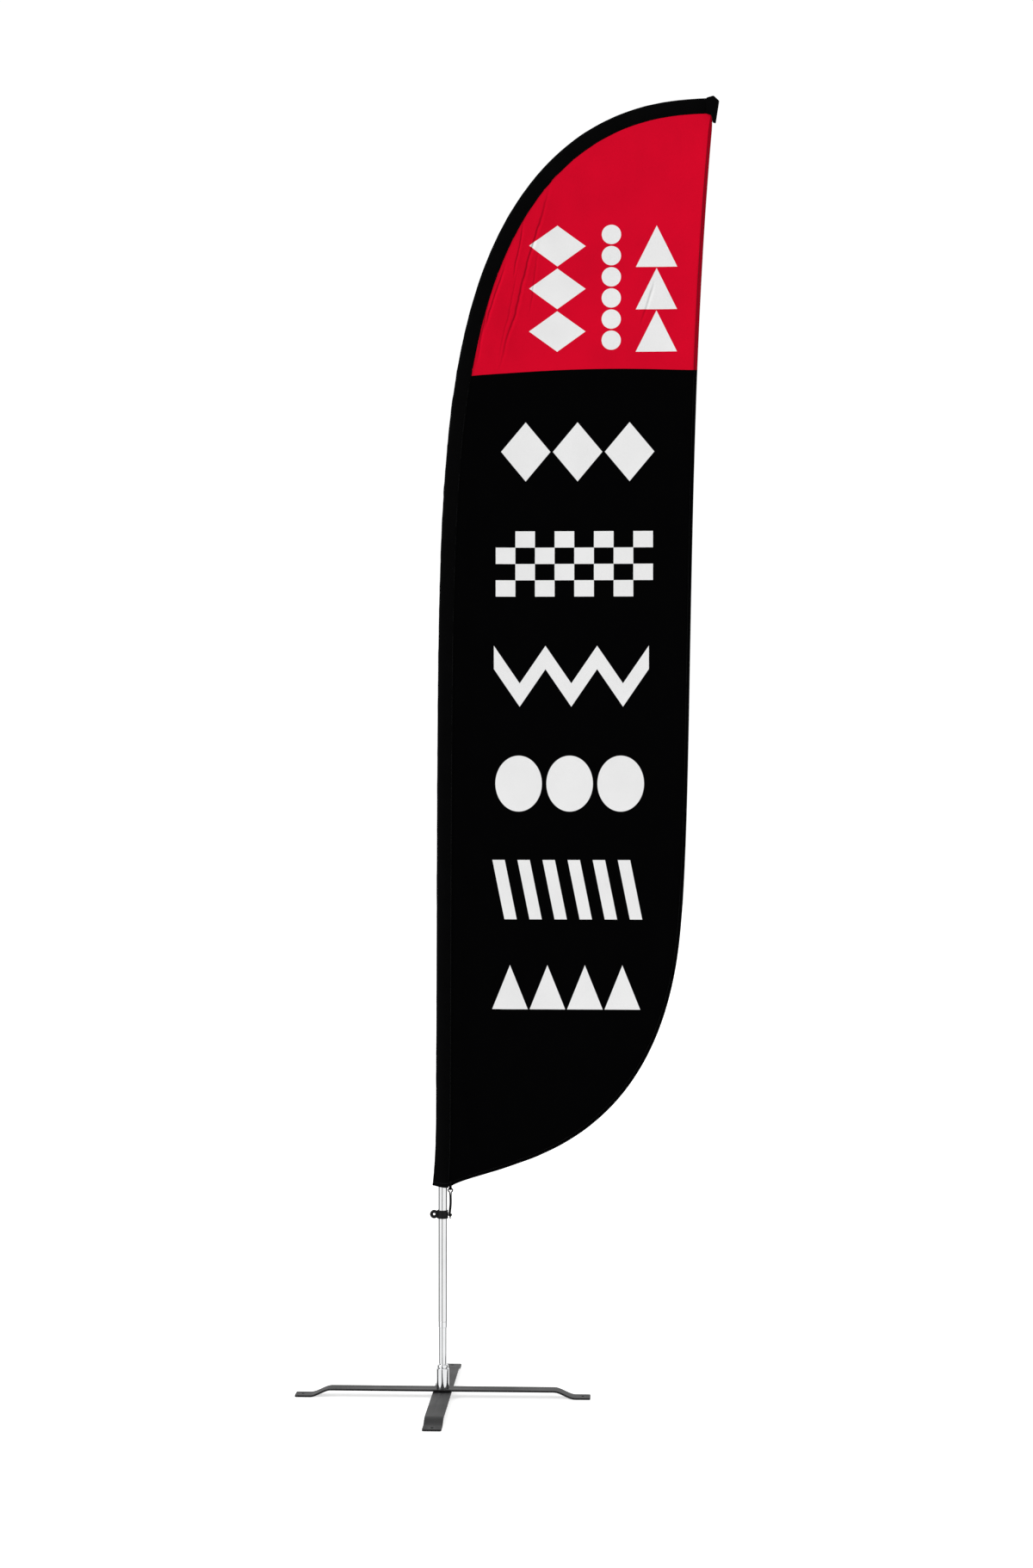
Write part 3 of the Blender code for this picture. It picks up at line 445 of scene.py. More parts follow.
@dataclass(frozen=True)
class Finish:
    """What every finish has: its material's name, its colour and its roughness."""

    name: str
    colour: Colour
    roughness: float

    def paint(self) -> Material:
        """Build the material.

        Returns:
            The material, with this finish's own sockets wired.
        """
        made, graph, shader = start_material(self.name)
        graph.wire(shader, self.sockets(graph))
        return made

    def sockets(self, graph: Graph) -> dict[str, object]:
        """What feeds each socket of the shader; each finish says its own."""
        raise NotImplementedError(self.name)


@dataclass(frozen=True)
class Metal(Finish):
    """Polished or turned metal with draw lines, scuffs and thumb-worn patches."""

    line_scale: float = 900.0
    line_depth: float = 0.000004

    def sockets(self, graph: Graph) -> dict[str, object]:
        """Wire the metal's patterns.

        Args:
            graph: the material's graph.

        Returns:
            What feeds each socket of the shader.
        """
        place = graph.add("TexCoord").outputs["Object"]
        streaks = graph.group(EFFECTS.streaks, Vector=place, Scale=self.line_scale)
        tarnish = graph.group(EFFECTS.mottle, Vector=place, Scale=18.0, Low=0.0, High=1.0)
        tone = graph.mix(tarnish.outputs[0], self.colour.rgba(0.93), self.colour.rgba())
        lines = streaks.outputs["Lines"]
        rough = graph.math("MULTIPLY_ADD", streaks.outputs["Scuffs"], 0.10, self.roughness)
        return {"Base Color": graph.shade(tone, graph.remap(lines, 0.3, 0.7, 0.9, 1.0)),
                "Roughness": graph.math("MULTIPLY_ADD", lines, 0.06, rough),
                "Metallic": 1.0, "Normal": bump(graph, lines, 0.35, self.line_depth)}


@dataclass(frozen=True)
class PowderCoat(Finish):
    """Satin powder coat: fine orange peel, light specks and scuffs."""

    speck: Colour
    peel_scale: float = 1400.0
    peel_depth: float = 0.00006

    def sockets(self, graph: Graph) -> dict[str, object]:
        """Wire the coat's patterns.

        Args:
            graph: the material's graph.

        Returns:
            What feeds each socket of the shader.
        """
        place = graph.add("TexCoord").outputs["Object"]
        grit = graph.group(EFFECTS.grit, Vector=place, Scale=self.peel_scale)
        dust = graph.group(EFFECTS.mottle, Vector=place, Scale=9.0, Low=0.0, High=1.0).outputs[0]
        base = graph.mix(dust, self.colour.rgba(0.8), self.colour.rgba(1.25))
        return {"Base Color": graph.mix(grit.outputs["Specks"], base, self.speck.rgba()),
                "Roughness": graph.math("MULTIPLY_ADD", dust, 0.12, self.roughness),
                "Specular IOR Level": 0.24,
                "Normal": bump(graph, grit.outputs["Height"], 0.5, self.peel_depth)}


@dataclass(frozen=True)
class Plastic(Finish):
    """Moulded plastic with a fine spark-eroded grain."""

    grain_scale: float = 2600.0
    grain_depth: float = 0.00003

    def sockets(self, graph: Graph) -> dict[str, object]:
        """Wire the plastic's patterns.

        Args:
            graph: the material's graph.

        Returns:
            What feeds each socket of the shader.
        """
        place = graph.add("TexCoord").outputs["Object"]
        grit = graph.group(EFFECTS.grit, Vector=place, Scale=self.grain_scale)
        scuff = graph.group(EFFECTS.mottle, Vector=place, Scale=140.0, Low=0.0, High=1.0).outputs[0]
        return {"Base Color": graph.mix(scuff, self.colour.rgba(), self.colour.rgba(1.8)),
                "Roughness": graph.math("MULTIPLY_ADD", scuff, 0.15, self.roughness),
                "Specular IOR Level": 0.18,
                "Normal": bump(graph, grit.outputs["Height"], 0.4, self.grain_depth)}


@dataclass(frozen=True)
class Fibreglass(Finish):
    """Pultruded rod: glossy resin over fibres that run along it."""

    fibre_scale: float = 2200.0
    fibre_depth: float = 0.00001

    def sockets(self, graph: Graph) -> dict[str, object]:
        """Wire the rod's patterns.

        Args:
            graph: the material's graph.

        Returns:
            What feeds each socket of the shader.
        """
        place = graph.add("TexCoord").outputs["Object"]
        streaks = graph.group(EFFECTS.streaks, Vector=place, Scale=self.fibre_scale)
        lines, scuffs = streaks.outputs["Lines"], streaks.outputs["Scuffs"]
        return {"Base Color": graph.mix(lines, self.colour.rgba(0.6), self.colour.rgba(1.3)),
                "Roughness": graph.math("MULTIPLY_ADD", scuffs, 0.25, self.roughness),
                "Normal": bump(graph, lines, 0.3, self.fibre_depth)}


@dataclass(frozen=True)
class WovenCloth(Finish):
    """Dyed polyester that reads its weave from the cut's own UV map in metres."""

    roughness: float = 0.85
    pitch: float = 0.00045
    specular: float = 0.012
    sheen: float = 0.003
    relief: float = 0.00008

    def tone(self, graph: Graph, cut: Socket) -> Socket:
        """The dye's colour before the weave shades it."""
        patch = graph.group(EFFECTS.mottle, Vector=cut, Scale=30.0, Low=0.0, High=1.0)
        return graph.mix(patch.outputs[0], self.colour.rgba(0.85), self.colour.rgba(1.15))

    def sockets(self, graph: Graph) -> dict[str, object]:
        """Wire the dye, the painted shade along seams and hems, the relief and the gloss.

        Args:
            graph: the material's graph.

        Returns:
            What feeds each socket of the shader.
        """
        cut = graph.add("UVMap", uv_map="cut").outputs[0]
        weave = graph.group(EFFECTS.weave, Vector=cut, Pitch=self.pitch)
        # the seam attribute is painted shade along seams and hems: at 1 it darkens the colour to
        # 0.16 of itself
        seam = graph.add("Attribute", attribute_name="seam").outputs["Fac"]
        shade = graph.math("MULTIPLY", weave.outputs["Shade"],
                           graph.remap(seam, 0.0, 1.0, 1.0, 0.16))
        rub = graph.group(EFFECTS.mottle, Vector=cut, Scale=14.0, Low=self.roughness - 0.06,
                          High=self.roughness + 0.06)
        return {"Base Color": graph.shade(self.tone(graph, cut), shade),
                "Roughness": rub.outputs[0], "Specular IOR Level": self.specular,
                "Sheen Weight": self.sheen, "Sheen Roughness": 0.5,
                "Normal": bump(graph, weave.outputs["Height"], 0.35, self.relief)}


@dataclass(frozen=True)
class Crease:
    """One fold pressed into the cloth: its ends, its height, its half-width and the strength of its
    painted shade and highlight.
    """

    start: Point
    end: Point
    height: float
    half: float
    # strength of the painted shade and painted highlight along this fold
    shade: float

    def rise(self, at: Vector) -> float:
        """How far this fold stands forward at a place.

        Args:
            at: a place on the flat flag.

        Returns:
            Metres forward.
        """
        start, end = Vector(self.start), Vector(self.end)
        run = end - start
        share = (at - start).dot(run) / run.length_squared
        if not 0 < share < 1:
            return 0.0
        away = (at - start - share * run).length / self.half
        return self.height * math.sin(math.pi * share) ** 0.6 * math.exp(-away * away)


@dataclass(frozen=True)
class Mark:
    """A block of printed figures: its lower left corner, its cells and how full they are."""

    shape: MarkShape
    left: float
    low: float
    width: float
    height: float
    columns: int
    rows: int
    fill: float


@dataclass(frozen=True)
class PrintedCloth(WovenCloth):
    """Flag cloth printed in one colour above a line and another below it, with white marks and
    painted shade and highlights along its creases.
    """

    upper: Colour = Colour(0.57, 0.0022, 0.0185)
    ink: Colour = Colour(0.74, 0.74, 0.74)
    # colour of the painted shade along the creases
    crease_shade_tone: Colour = Colour(0.01, 0.001, 0.002)
    edge_sharpness: float = 1500.0
    line_start: Point = (0.079, 2.765)
    line_rise: float = 0.0577
    line_sag: float = -0.1417
    line_middle: float = 0.443
    marks: tuple[Mark, ...] = ()
    creases: tuple[Crease, ...] = ()

    def tone(self, graph: Graph, cut: Socket) -> Socket:
        """The two grounds, the marks on them and the painted shade and highlights along the
        creases.

        Args:
            graph: the material's graph.
            cut: the place on the flat flag.

        Returns:
            The print's colour.
        """
        axes = graph.add("SeparateXYZ", {0: cut})
        from_start = graph.math("SUBTRACT", axes.outputs[0], self.line_start[0])
        from_middle = graph.math("SUBTRACT", axes.outputs[0], self.line_middle)
        bow = graph.math("MULTIPLY", graph.math("MULTIPLY", from_start, from_middle),
                         self.line_sag)
        line = graph.math("ADD", graph.math("MULTIPLY_ADD", from_start, self.line_rise, bow),
                          self.line_start[1])
        over_line = graph.math("SUBTRACT", axes.outputs[1], line)
        above = graph.math("MULTIPLY", over_line, self.edge_sharpness, clamp=True)
        patch = graph.group(EFFECTS.mottle, Vector=cut, Scale=7.0, Low=0.0, High=1.0)
        red = graph.mix(patch.outputs[0], self.upper.rgba(0.95), self.upper.rgba(1.05))
        ground = graph.mix(above, self.colour.rgba(), red)
        inked: Socket | float = 0.0
        for mark in self.marks:
            block = graph.group(
                EFFECTS.marks[mark.shape], Vector=cut, Left=mark.left, Low=mark.low,
                Cell_Width=mark.width / mark.columns, Cell_Height=mark.height / mark.rows,
                Columns=float(mark.columns), Rows=float(mark.rows), Fill=mark.fill)
            inked = graph.math("MAXIMUM", inked, block.outputs[0])
        white = graph.mix(patch.outputs[0], self.ink.rgba(0.97), self.ink.rgba(1.03))
        return self.shade_creases(graph, cut, graph.mix(inked, ground, white))

    def shade_creases(self, graph: Graph, cut: Socket, tone: Socket) -> Socket:
        """Paint shade on one side of every pressed fold and a highlight on the other.

        Args:
            graph: the material's graph.
            cut: the place on the flat flag.
            tone: the colour to shade.

        Returns:
            The colour with the painted crease shade and highlights.
        """
        dark: Socket | float = 0.0
        light: Socket | float = 0.0
        for crease in self.creases:
            fold = graph.group(EFFECTS.crease, Vector=cut, Start=(*crease.start, 0.0),
                               End=(*crease.end, 0.0), Half=crease.half * 0.32)
            # painted shade along each crease, and a weaker painted highlight beside it
            folded = graph.math("MULTIPLY", fold.outputs["Dark"], crease.shade)
            crease_highlight = graph.math("MULTIPLY", fold.outputs["Light"], crease.shade * 0.35)
            dark = graph.math("MAXIMUM", dark, folded)
            light = graph.math("MAXIMUM", light, crease_highlight)
        # mix in the painted crease shade, then add the painted highlight
        shaded = graph.mix(dark, tone, self.crease_shade_tone.rgba())
        return graph.mix(light, shaded, tone, "ADD")


# each fold: start, end, height, half-width and the strength of its painted shade and highlight
CREASES = (
    Crease((0.291, 3.287), (0.152, 2.781), 0.0046, 0.0075, 0.55),
    Crease((0.217, 3.187), (0.191, 3.028), 0.0036, 0.0060, 0.50),
    Crease((0.170, 3.075), (0.107, 2.877), 0.0040, 0.0065, 0.55),
    Crease((0.574, 3.028), (0.534, 2.904), 0.0026, 0.0070, 0.30),
    Crease((0.140, 3.040), (0.086, 2.790), 0.0020, 0.0060, 0.45),
    Crease((0.262, 3.110), (0.230, 2.930), 0.0016, 0.0060, 0.25),
    Crease((0.205, 3.060), (0.150, 2.800), 0.0016, 0.0060, 0.22),
)
MARKS = (
    Mark(MarkShape.LOZENGE, 0.231, 2.830, 0.161, 0.345, 1, 3, 0.96),
    Mark(MarkShape.DISC, 0.429, 2.835, 0.057, 0.342, 1, 6, 0.92),
    Mark(MarkShape.PENNANT, 0.522, 2.832, 0.115, 0.343, 1, 3, 0.98),
    Mark(MarkShape.LOZENGE, 0.156, 2.478, 0.422, 0.168, 3, 1, 0.96),
    Mark(MarkShape.CHECK, 0.145, 2.170, 0.426, 0.177, 4, 2, 0.50),
    Mark(MarkShape.ZIGZAG, 0.140, 1.869, 0.420, 0.170, 3, 1, 0.38),
    Mark(MarkShape.DISC, 0.138, 1.580, 0.415, 0.166, 3, 1, 0.92),
    Mark(MarkShape.SLANT, 0.135, 1.295, 0.408, 0.161, 3, 1, 0.50),
    Mark(MarkShape.PENNANT, 0.133, 1.051, 0.406, 0.126, 4, 1, 0.96),
)

BLACK = Colour(0.0006, 0.0006, 0.0007)
FINISHES = {
    Slot.POWDER_COAT: PowderCoat("charcoal_powder_coat", Colour(0.006, 0.006, 0.0065), 0.40,
                                 Colour(0.03, 0.03, 0.031)),
    Slot.CHROME: Metal("polished_chrome", Colour(0.93, 0.94, 0.95), 0.04),
    Slot.STEEL: Metal("bright_steel", Colour(0.62, 0.62, 0.60), 0.28),
    Slot.ALUMINIUM: Metal("polished_aluminium", Colour(0.92, 0.925, 0.93), 0.06),
    Slot.BLACK_PLASTIC: Plastic("black_moulded_plastic", Colour(0.002, 0.002, 0.0022), 0.42),
    Slot.FIBREGLASS: Fibreglass("black_fibreglass", Colour(0.02, 0.02, 0.021), 0.25),
    Slot.PRINTED_CLOTH: PrintedCloth("printed_flag_cloth", BLACK, marks=MARKS,
                                     creases=CREASES),
    Slot.BLACK_CLOTH: WovenCloth("black_sleeve_cloth", Colour(0.0008, 0.0008, 0.0009),
                                 pitch=0.0006, specular=0.03, sheen=0.004, relief=0.00012),
    Slot.ELASTIC: WovenCloth("braided_elastic", Colour(0.002, 0.002, 0.002), pitch=0.0009,
                             roughness=0.7, specular=0.08, sheen=0.01, relief=0.0003),
}
PAINTS = {slot: finish.paint() for slot, finish in FINISHES.items()}
THREAD = WovenCloth("sewing_thread", Colour(0.011, 0.011, 0.012), pitch=0.0003, roughness=0.6,
                    specular=0.2, sheen=0.02, relief=0.00005).paint()


# ---- mesh making
def in_scene(name: str, data: bpy.types.ID) -> Piece:
    """Put data in the scene as an object at the origin.

    Args:
        name: the object's name.
        data: its mesh, curve, camera or light.

    Returns:
        The new object.
    """
    piece = bpy.data.objects.new(name, data)
    bpy.context.scene.collection.objects.link(piece)
    return piece


def finished(shape: bmesh.types.BMesh, name: str, sharp: float = 40.0) -> Piece:
    """Turn a bmesh into a smooth-shaded object at the origin.

    Args:
        shape: the bmesh, which is freed.
        name: the piece's name.
        sharp: degrees between two faces above which their edge stays sharp.

    Returns:
        The new object.
    """
    mesh = bpy.data.meshes.new(name)
    shape.to_mesh(mesh)
    shape.free()
    mesh.shade_smooth()
    mesh.set_sharp_from_angle(angle=math.radians(sharp))
    return in_scene(name, mesh)


def mapped_grid(name: str, columns: int, rows: int, place: Callable[[float, float], Vector],
                cut: Callable[[float, float], Point],
                seam: Callable[[float, float], float] | None = None, ring: bool = False,
                ends: bool = True, sharp: float = 40.0) -> Piece:
    """Lay a grid on a surface.

    Args:
        name: the piece's name.
        columns: cells across.
        rows: cells along.
        place: the point at a share across and a share along.
        cut: the same place on the flat cut, in metres.
        seam: how much painted seam shade darkens that place.
        ring: whether the last column meets the first.
        ends: whether a ring's two ends are closed.
        sharp: degrees above which an edge stays sharp.

    Returns:
        The new object, with its cut as a UV map.
    """
    shape = bmesh.new()
    bmesh.ops.create_grid(shape, x_segments=columns, y_segments=rows, size=0.5)
    uv = shape.loops.layers.uv.new("cut")
    # a float layer that carries the painted seam shade, read as the seam attribute
    dark = shape.verts.layers.float.new("seam")
    shares = {vert: (vert.co.x + 0.5, vert.co.y + 0.5) for vert in shape.verts}
    flat = {vert: cut(*share) for vert, share in shares.items()}
    for face in shape.faces:
        for loop in face.loops:
            loop[uv].uv = flat[loop.vert]
    for vert, (across, along) in shares.items():
        vert.co = place(across, along)
        vert[dark] = seam(across, along) if seam else 0.0
    if ring:
        bmesh.ops.remove_doubles(shape, verts=shape.verts, dist=TINY)
        if ends:
            bmesh.ops.holes_fill(shape, edges=shape.edges, sides=0)
        bmesh.ops.recalc_face_normals(shape, faces=shape.faces)
    return finished(shape, name, sharp)


def rounded_path(points: Sequence[Point], reach: float, steps: int = 5,
                 closed: bool = False) -> list[Point]:
    """Round the corners of a path.

    Args:
        points: the path's corners.
        reach: how far from a corner its rounding starts.
        steps: points in each rounding.
        closed: whether the last point runs on to the first.

    Returns:
        The rounded path's points.
    """
    path = [Vector(point) for point in points]
    made: list[Point] = []
    for k, corner in enumerate(path):
        if not closed and k in (0, len(path) - 1):
            made.append(tuple(corner))
            continue
        before, after = path[k - 1] - corner, path[(k + 1) % len(path)] - corner
        cut = min(reach, before.length * 0.49, after.length * 0.49)
        start, end = corner + before.normalized() * cut, corner + after.normalized() * cut
        for step in range(steps + 1):
            share = step / steps
            made.append(tuple(start.lerp(corner, share).lerp(corner.lerp(end, share), share)))
    return made


def spun(name: str, profile: Sequence[Point], steps: int, closed: bool,
         sharp: float = 40.0) -> Piece:
    """Turn a profile of radius and height about the pole's axis.

    Args:
        name: the piece's name.
        profile: pairs of radius and height.
        steps: sides of the turned piece.
        closed: whether the profile's last point runs on to its first.
        sharp: degrees above which an edge stays sharp.

    Returns:
        The new object.
    """
    shape = bmesh.new()
    verts = [shape.verts.new((radius, 0.0, height)) for radius, height in profile]
    pairs = list(zip(verts, verts[1:])) + ([(verts[-1], verts[0])] if closed else [])
    edges = [shape.edges.new(pair) for pair in pairs]
    bmesh.ops.spin(shape, geom=verts + edges, cent=(0, 0, 0), axis=(0, 0, 1),
                   angle=FULL_TURN, steps=steps, use_merge=True)
    bmesh.ops.remove_doubles(shape, verts=shape.verts, dist=TINY)
    bmesh.ops.recalc_face_normals(shape, faces=shape.faces)
    return finished(shape, name, sharp)


def strung(name: str, sample: Piece, places: Iterable[Matrix]) -> Piece:
    """Copy a small sample to every place and join the copies into one piece.

    Args:
        name: the piece's name.
        sample: the object to copy, which is removed.
        places: one matrix for each copy.

    Returns:
        The joined piece.
    """
    shape = bmesh.new()
    for matrix in places:
        first = len(shape.verts)
        shape.from_mesh(sample.data)
        shape.verts.ensure_lookup_table()
        for vert in shape.verts[first:]:
            vert.co = matrix @ vert.co
    bpy.data.objects.remove(sample)
    return finished(shape, name)


def cut_plate(name: str, outline: Sequence[Point], holes: Sequence[Point], thick: float,
              rounding: float) -> Piece:
    """Cut a plate on the XY plane from its outline and its round holes.

    Args:
        name: the piece's name.
        outline: the outline's points.
        holes: each hole's X and radius.
        thick: how thick the plate is above the plane.
        rounding: radius of its softened edges.

    Returns:
        The new object.
    """
    data = bpy.data.curves.new(name, "CURVE")
    data.dimensions, data.fill_mode = "2D", "BOTH"
    sides = 36
    turns = [math.pi * k / (sides // 2) for k in range(sides)]
    rings = [[(middle + radius * math.cos(turn), radius * math.sin(turn)) for turn in turns]
             for middle, radius in holes]
    for points in (outline, *rings):
        loop = data.splines.new("POLY")
        loop.points.add(len(points) - 1)
        for point, (x, y) in zip(loop.points, points):
            point.co = (x, y, 0, 1)
        loop.use_cyclic_u = True
    data.extrude = thick / 2 - rounding
    data.bevel_depth, data.bevel_resolution = rounding, 2
    data.offset = -rounding
    curve = in_scene(name, data)
    bpy.context.view_layer.update()
    mesh = bpy.data.meshes.new_from_object(
        curve.evaluated_get(bpy.context.evaluated_depsgraph_get()))
    bpy.data.objects.remove(curve)
    mesh.transform(Matrix.Translation((0, 0, thick / 2)))
    shape = bmesh.new()
    shape.from_mesh(mesh)
    bmesh.ops.remove_doubles(shape, verts=shape.verts, dist=TINY)
    bmesh.ops.recalc_face_normals(shape, faces=shape.faces)
    return finished(shape, name)


def stitch(length: float, thick: float) -> Piece:
    """One short stitch of thread along X, lying on the XY plane.

    Args:
        length: its length.
        thick: its width.

    Returns:
        The stitch.
    """
    shape = bmesh.new()
    bmesh.ops.create_uvsphere(shape, u_segments=6, v_segments=4, radius=1.0)
    bmesh.ops.rotate(shape, matrix=Matrix.Rotation(math.pi / 2, 3, "Y"), verts=shape.verts)
    bmesh.ops.scale(shape, vec=(length / 2, thick / 2, thick / 3), verts=shape.verts)
    return finished(shape, "stitch")


def sew(name: str, length: float, places: Sequence[Matrix]) -> Piece:
    """Sew stitches of one length at every place and let them ride with the flag.

    Args:
        name: the seam's name.
        length: one stitch's length.
        places: a matrix for each stitch.

    Returns:
        The stitches as one piece.
    """
    seam = strung(name, stitch(length, THREAD_THICK), places)
    dress(seam, Slot.BLACK_CLOTH, Body.POLE)
    seam.data.materials[0] = THREAD
    return seam


def ramp(value: float, run: float) -> float:
    """A share that is 0 up to 0 and rises evenly to 1 over a run."""
    return min(1.0, max(0.0, value / run))


def fade(value: float, run: float) -> float:
    """A share that is 1 up to 0 and dies away over a run."""
    return math.exp(-max(value, 0.0) / run)


def facing(at: Vector, along: Vector, out: Vector) -> Matrix:
    """A matrix at a point with X along one direction and Z near another.

    Args:
        at: the point.
        along: the way of X.
        out: a way on the side of Z.

    Returns:
        The matrix.
    """
    first = along.normalized()
    third = (out - out.dot(first) * first).normalized()
    second = third.cross(first)
    return Matrix.Translation(at) @ Matrix((first, second, third)).transposed().to_4x4()


def joined(name: str, pieces: Sequence[Piece]) -> Piece:
    """Unite overlapping pieces into one closed skin and remove the spare ones.

    Args:
        name: the whole's name.
        pieces: closed pieces; the first becomes the whole.

    Returns:
        The whole.
    """
    whole = pieces[0]
    whole.name = whole.data.name = name
    for other in pieces[1:]:
        union = whole.modifiers.new("union", "BOOLEAN")
        union.operation, union.solver, union.object = "UNION", "MANIFOLD", other
    evaluated = whole.evaluated_get(bpy.context.evaluated_depsgraph_get())
    mesh = bpy.data.meshes.new_from_object(evaluated)
    whole.modifiers.clear()
    whole.data = mesh
    mesh.shade_smooth()
    mesh.set_sharp_from_angle(angle=math.radians(40))
    for other in pieces[1:]:
        bpy.data.objects.remove(other)
    return whole


def thicken(piece: Piece, thick: float, offset: float = 0.0) -> None:
    """Give a sheet its thickness."""
    wall = piece.modifiers.new("thickness", "SOLIDIFY")
    wall.thickness, wall.offset, wall.use_even_offset = thick, offset, True


def dress(piece: Piece, slot: Slot, body: Body, *nodes: str) -> Piece:
    """Paint a piece, let it ride on its body and stand for its CAD nodes.

    Args:
        piece: the finished piece.
        slot: the material slot that it takes.
        body: the body that it rides on.
        nodes: the nodes that it stands for.

    Returns:
        The same piece.
    """
    piece.data.materials.clear()
    piece.data.materials.append(PAINTS[slot])
    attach(piece, body.value)
    if nodes:
        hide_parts(*nodes)
    log.info("%s: %d faces on %s", piece.name, len(piece.data.polygons), body.value)
    return piece


def bezier(one: Vector, two: Vector, three: Vector, four: Vector, steps: int) -> list[Vector]:
    """Points on a cubic curve without its last point.

    Args:
        one: where it starts.
        two: the first guide.
        three: the second guide.
        four: where it ends.
        steps: how many points.

    Returns:
        The points.
    """
    points = []
    for step in range(steps):
        t = step / steps
        weights = ((1 - t) ** 3, 3 * t * (1 - t) ** 2, 3 * t * t * (1 - t), t ** 3)
        points.append(sum((p * w for p, w in zip((one, two, three, four), weights)),
                          Vector((0.0,) * len(one))))
    return points


# ---- studio
@dataclass
class Studio:
    """Pale floor, soft light and the camera."""

    eye_height: float = 1.66
    eye_distance: float = 7.4
    eye_turn: float = 2.6
    eye_right: float = 0.2
    lens: float = 62.7
    floor_size: float = 60.0
    floor_tone: float = 0.86
    floor_glow: float = 0.62
    surround: float = 0.66
    backdrop: float = 1.02
    key_power: float = 1.0
    key_spread: float = 20.0
    key_side: tuple[float, float, float] = (0.85, 0.75, -0.75)
    dark_bands: tuple[Point, ...] = ((-96.0, 16.0), (-6.0, 8.5), (109.0, 15.0))
    band_tone: float = 0.02

    def build(self) -> None:
        """Make everything in the studio."""
        self.build_camera()
        self.build_floor()
        self.build_key()
        self.build_surround()
        bpy.context.scene.view_settings.view_transform = "Standard"

    def build_camera(self) -> None:
        """A level camera in front of the flag."""
        data = bpy.data.cameras.new("camera")
        data.lens, data.sensor_width = self.lens, 36.0
        data.clip_end = 200.0
        camera = in_scene("camera", data)
        turn = Matrix.Rotation(math.radians(self.eye_turn), 4, "Z")
        level = Matrix.Rotation(math.pi / 2, 4, "X")
        stand = Matrix.Translation((self.eye_right, -self.eye_distance, self.eye_height))
        camera.matrix_world = turn @ stand @ level
        bpy.context.scene.camera = camera

    def build_floor(self) -> None:
        """A wide pale floor, which mirrors don't see."""
        shape = bmesh.new()
        bmesh.ops.create_grid(shape, x_segments=1, y_segments=1, size=self.floor_size / 2)
        floor = finished(shape, "studio_floor")
        paint, graph, shader = start_material("studio_floor")
        tone = self.floor_tone
        graph.wire(shader, {"Base Color": (tone, tone, tone, 1.0), "Roughness": 1.0,
                            "Specular IOR Level": 0.0, "Emission Color": WHITE,
                            "Emission Strength": self.floor_glow})
        floor.data.materials.append(paint)
        floor.visible_glossy = False

    def build_key(self) -> None:
        """A broad soft key light from the upper left."""
        data = bpy.data.lights.new("key", "SUN")
        data.energy, data.angle = self.key_power, math.radians(self.key_spread)
        key = in_scene("key", data)
        key.rotation_euler = Vector(self.key_side).to_track_quat("-Z", "Y").to_euler()

    def build_surround(self) -> None:
        """White surround with a few narrow dark panels, which only polished metal shows."""
        world = bpy.data.worlds.new("surround")
        world.use_nodes = True
        bpy.context.scene.world = world
        graph = Graph(world.node_tree)
        backing = world.node_tree.nodes["Background"]
        way = graph.add("SeparateXYZ", {0: graph.add("TexCoord").outputs["Generated"]})
        bearing = graph.math("ARCTAN2", way.outputs[0],
                             graph.math("MULTIPLY", way.outputs[1], -1.0))
        dark: Socket | float = 0.0
        for middle, half in self.dark_bands:
            away = graph.math("ABSOLUTE", graph.math("SUBTRACT", bearing, math.radians(middle)))
            edge = math.radians(half)
            band = graph.remap(away, edge * 0.6, edge * 1.3, 1.0, 0.0)
            dark = graph.math("MAXIMUM", dark, band)
        rays = graph.add("LightPath")
        shiny = graph.math("MULTIPLY", dark, rays.outputs["Is Glossy Ray"])
        tone = self.band_tone
        seen = graph.math("MAXIMUM", rays.outputs["Is Camera Ray"], rays.outputs["Is Glossy Ray"])
        graph.wire(backing, {
            "Color": graph.mix(shiny, WHITE, (tone, tone, tone, 1.0)),
            "Strength": graph.remap(seen, 0.0, 1.0, self.surround, self.backdrop)})


# ---- pole line and sleeve sizes
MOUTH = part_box("flag_sleeve")[0].z
TUBE_LOW, TUBE_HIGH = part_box("lower_pole_tube")
TUBE_RADIUS = TUBE_HIGH.x
CLIP_MIDDLE = sum(corner.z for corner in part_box("tension_clip")) / 2
CLIP_EYE = 0.0176                 # from the pole's axis to the clip's eye
STRAP_LEFT, STRAP_RIGHT = 0.0175, 0.0245
STRAP_HALF = 0.0025               # half the gap inside the folded strap


@dataclass
class PoleLine:
    """The pole's axis: upright at the sleeve's mouth and bending over to the tip."""

    foot: float = MOUTH
    length: float = SLEEVE_RUN
    bend: float = math.radians(88)
    power: float = 6.37
    end: float = 14.9
    steps: int = 1200
    points: list[Point] = field(default_factory=list)

    def __post_init__(self) -> None:
        """Add up short steps into the line's points."""
        self.points.append((0.0, self.foot))
        step = self.length / self.steps
        for count in range(self.steps):
            angle = self.angle((count + 0.5) / self.steps)
            x, z = self.points[-1]
            self.points.append((x + step * math.sin(angle), z + step * math.cos(angle)))

    def angle(self, share: float) -> float:
        """The angle from upright at a share of the sleeve's length."""
        rest = self.power + self.end - self.power * share ** self.end
        return self.bend * share ** self.power * rest / self.end

    def frame(self, along: float) -> Matrix:
        """A matrix with its Z along the pole and its X towards the flag.

        Args:
            along: metres from the sleeve's mouth.

        Returns:
            The matrix at that place.
        """
        at = ramp(along, self.length) * self.steps
        low = min(int(at), self.steps - 1)
        one, two = Vector(self.points[low]), Vector(self.points[low + 1])
        here = one.lerp(two, at - low)
        turn = Matrix.Rotation(self.angle(at / self.steps), 4, "Y")
        return Matrix.Translation((here.x, 0.0, here.y)) @ turn


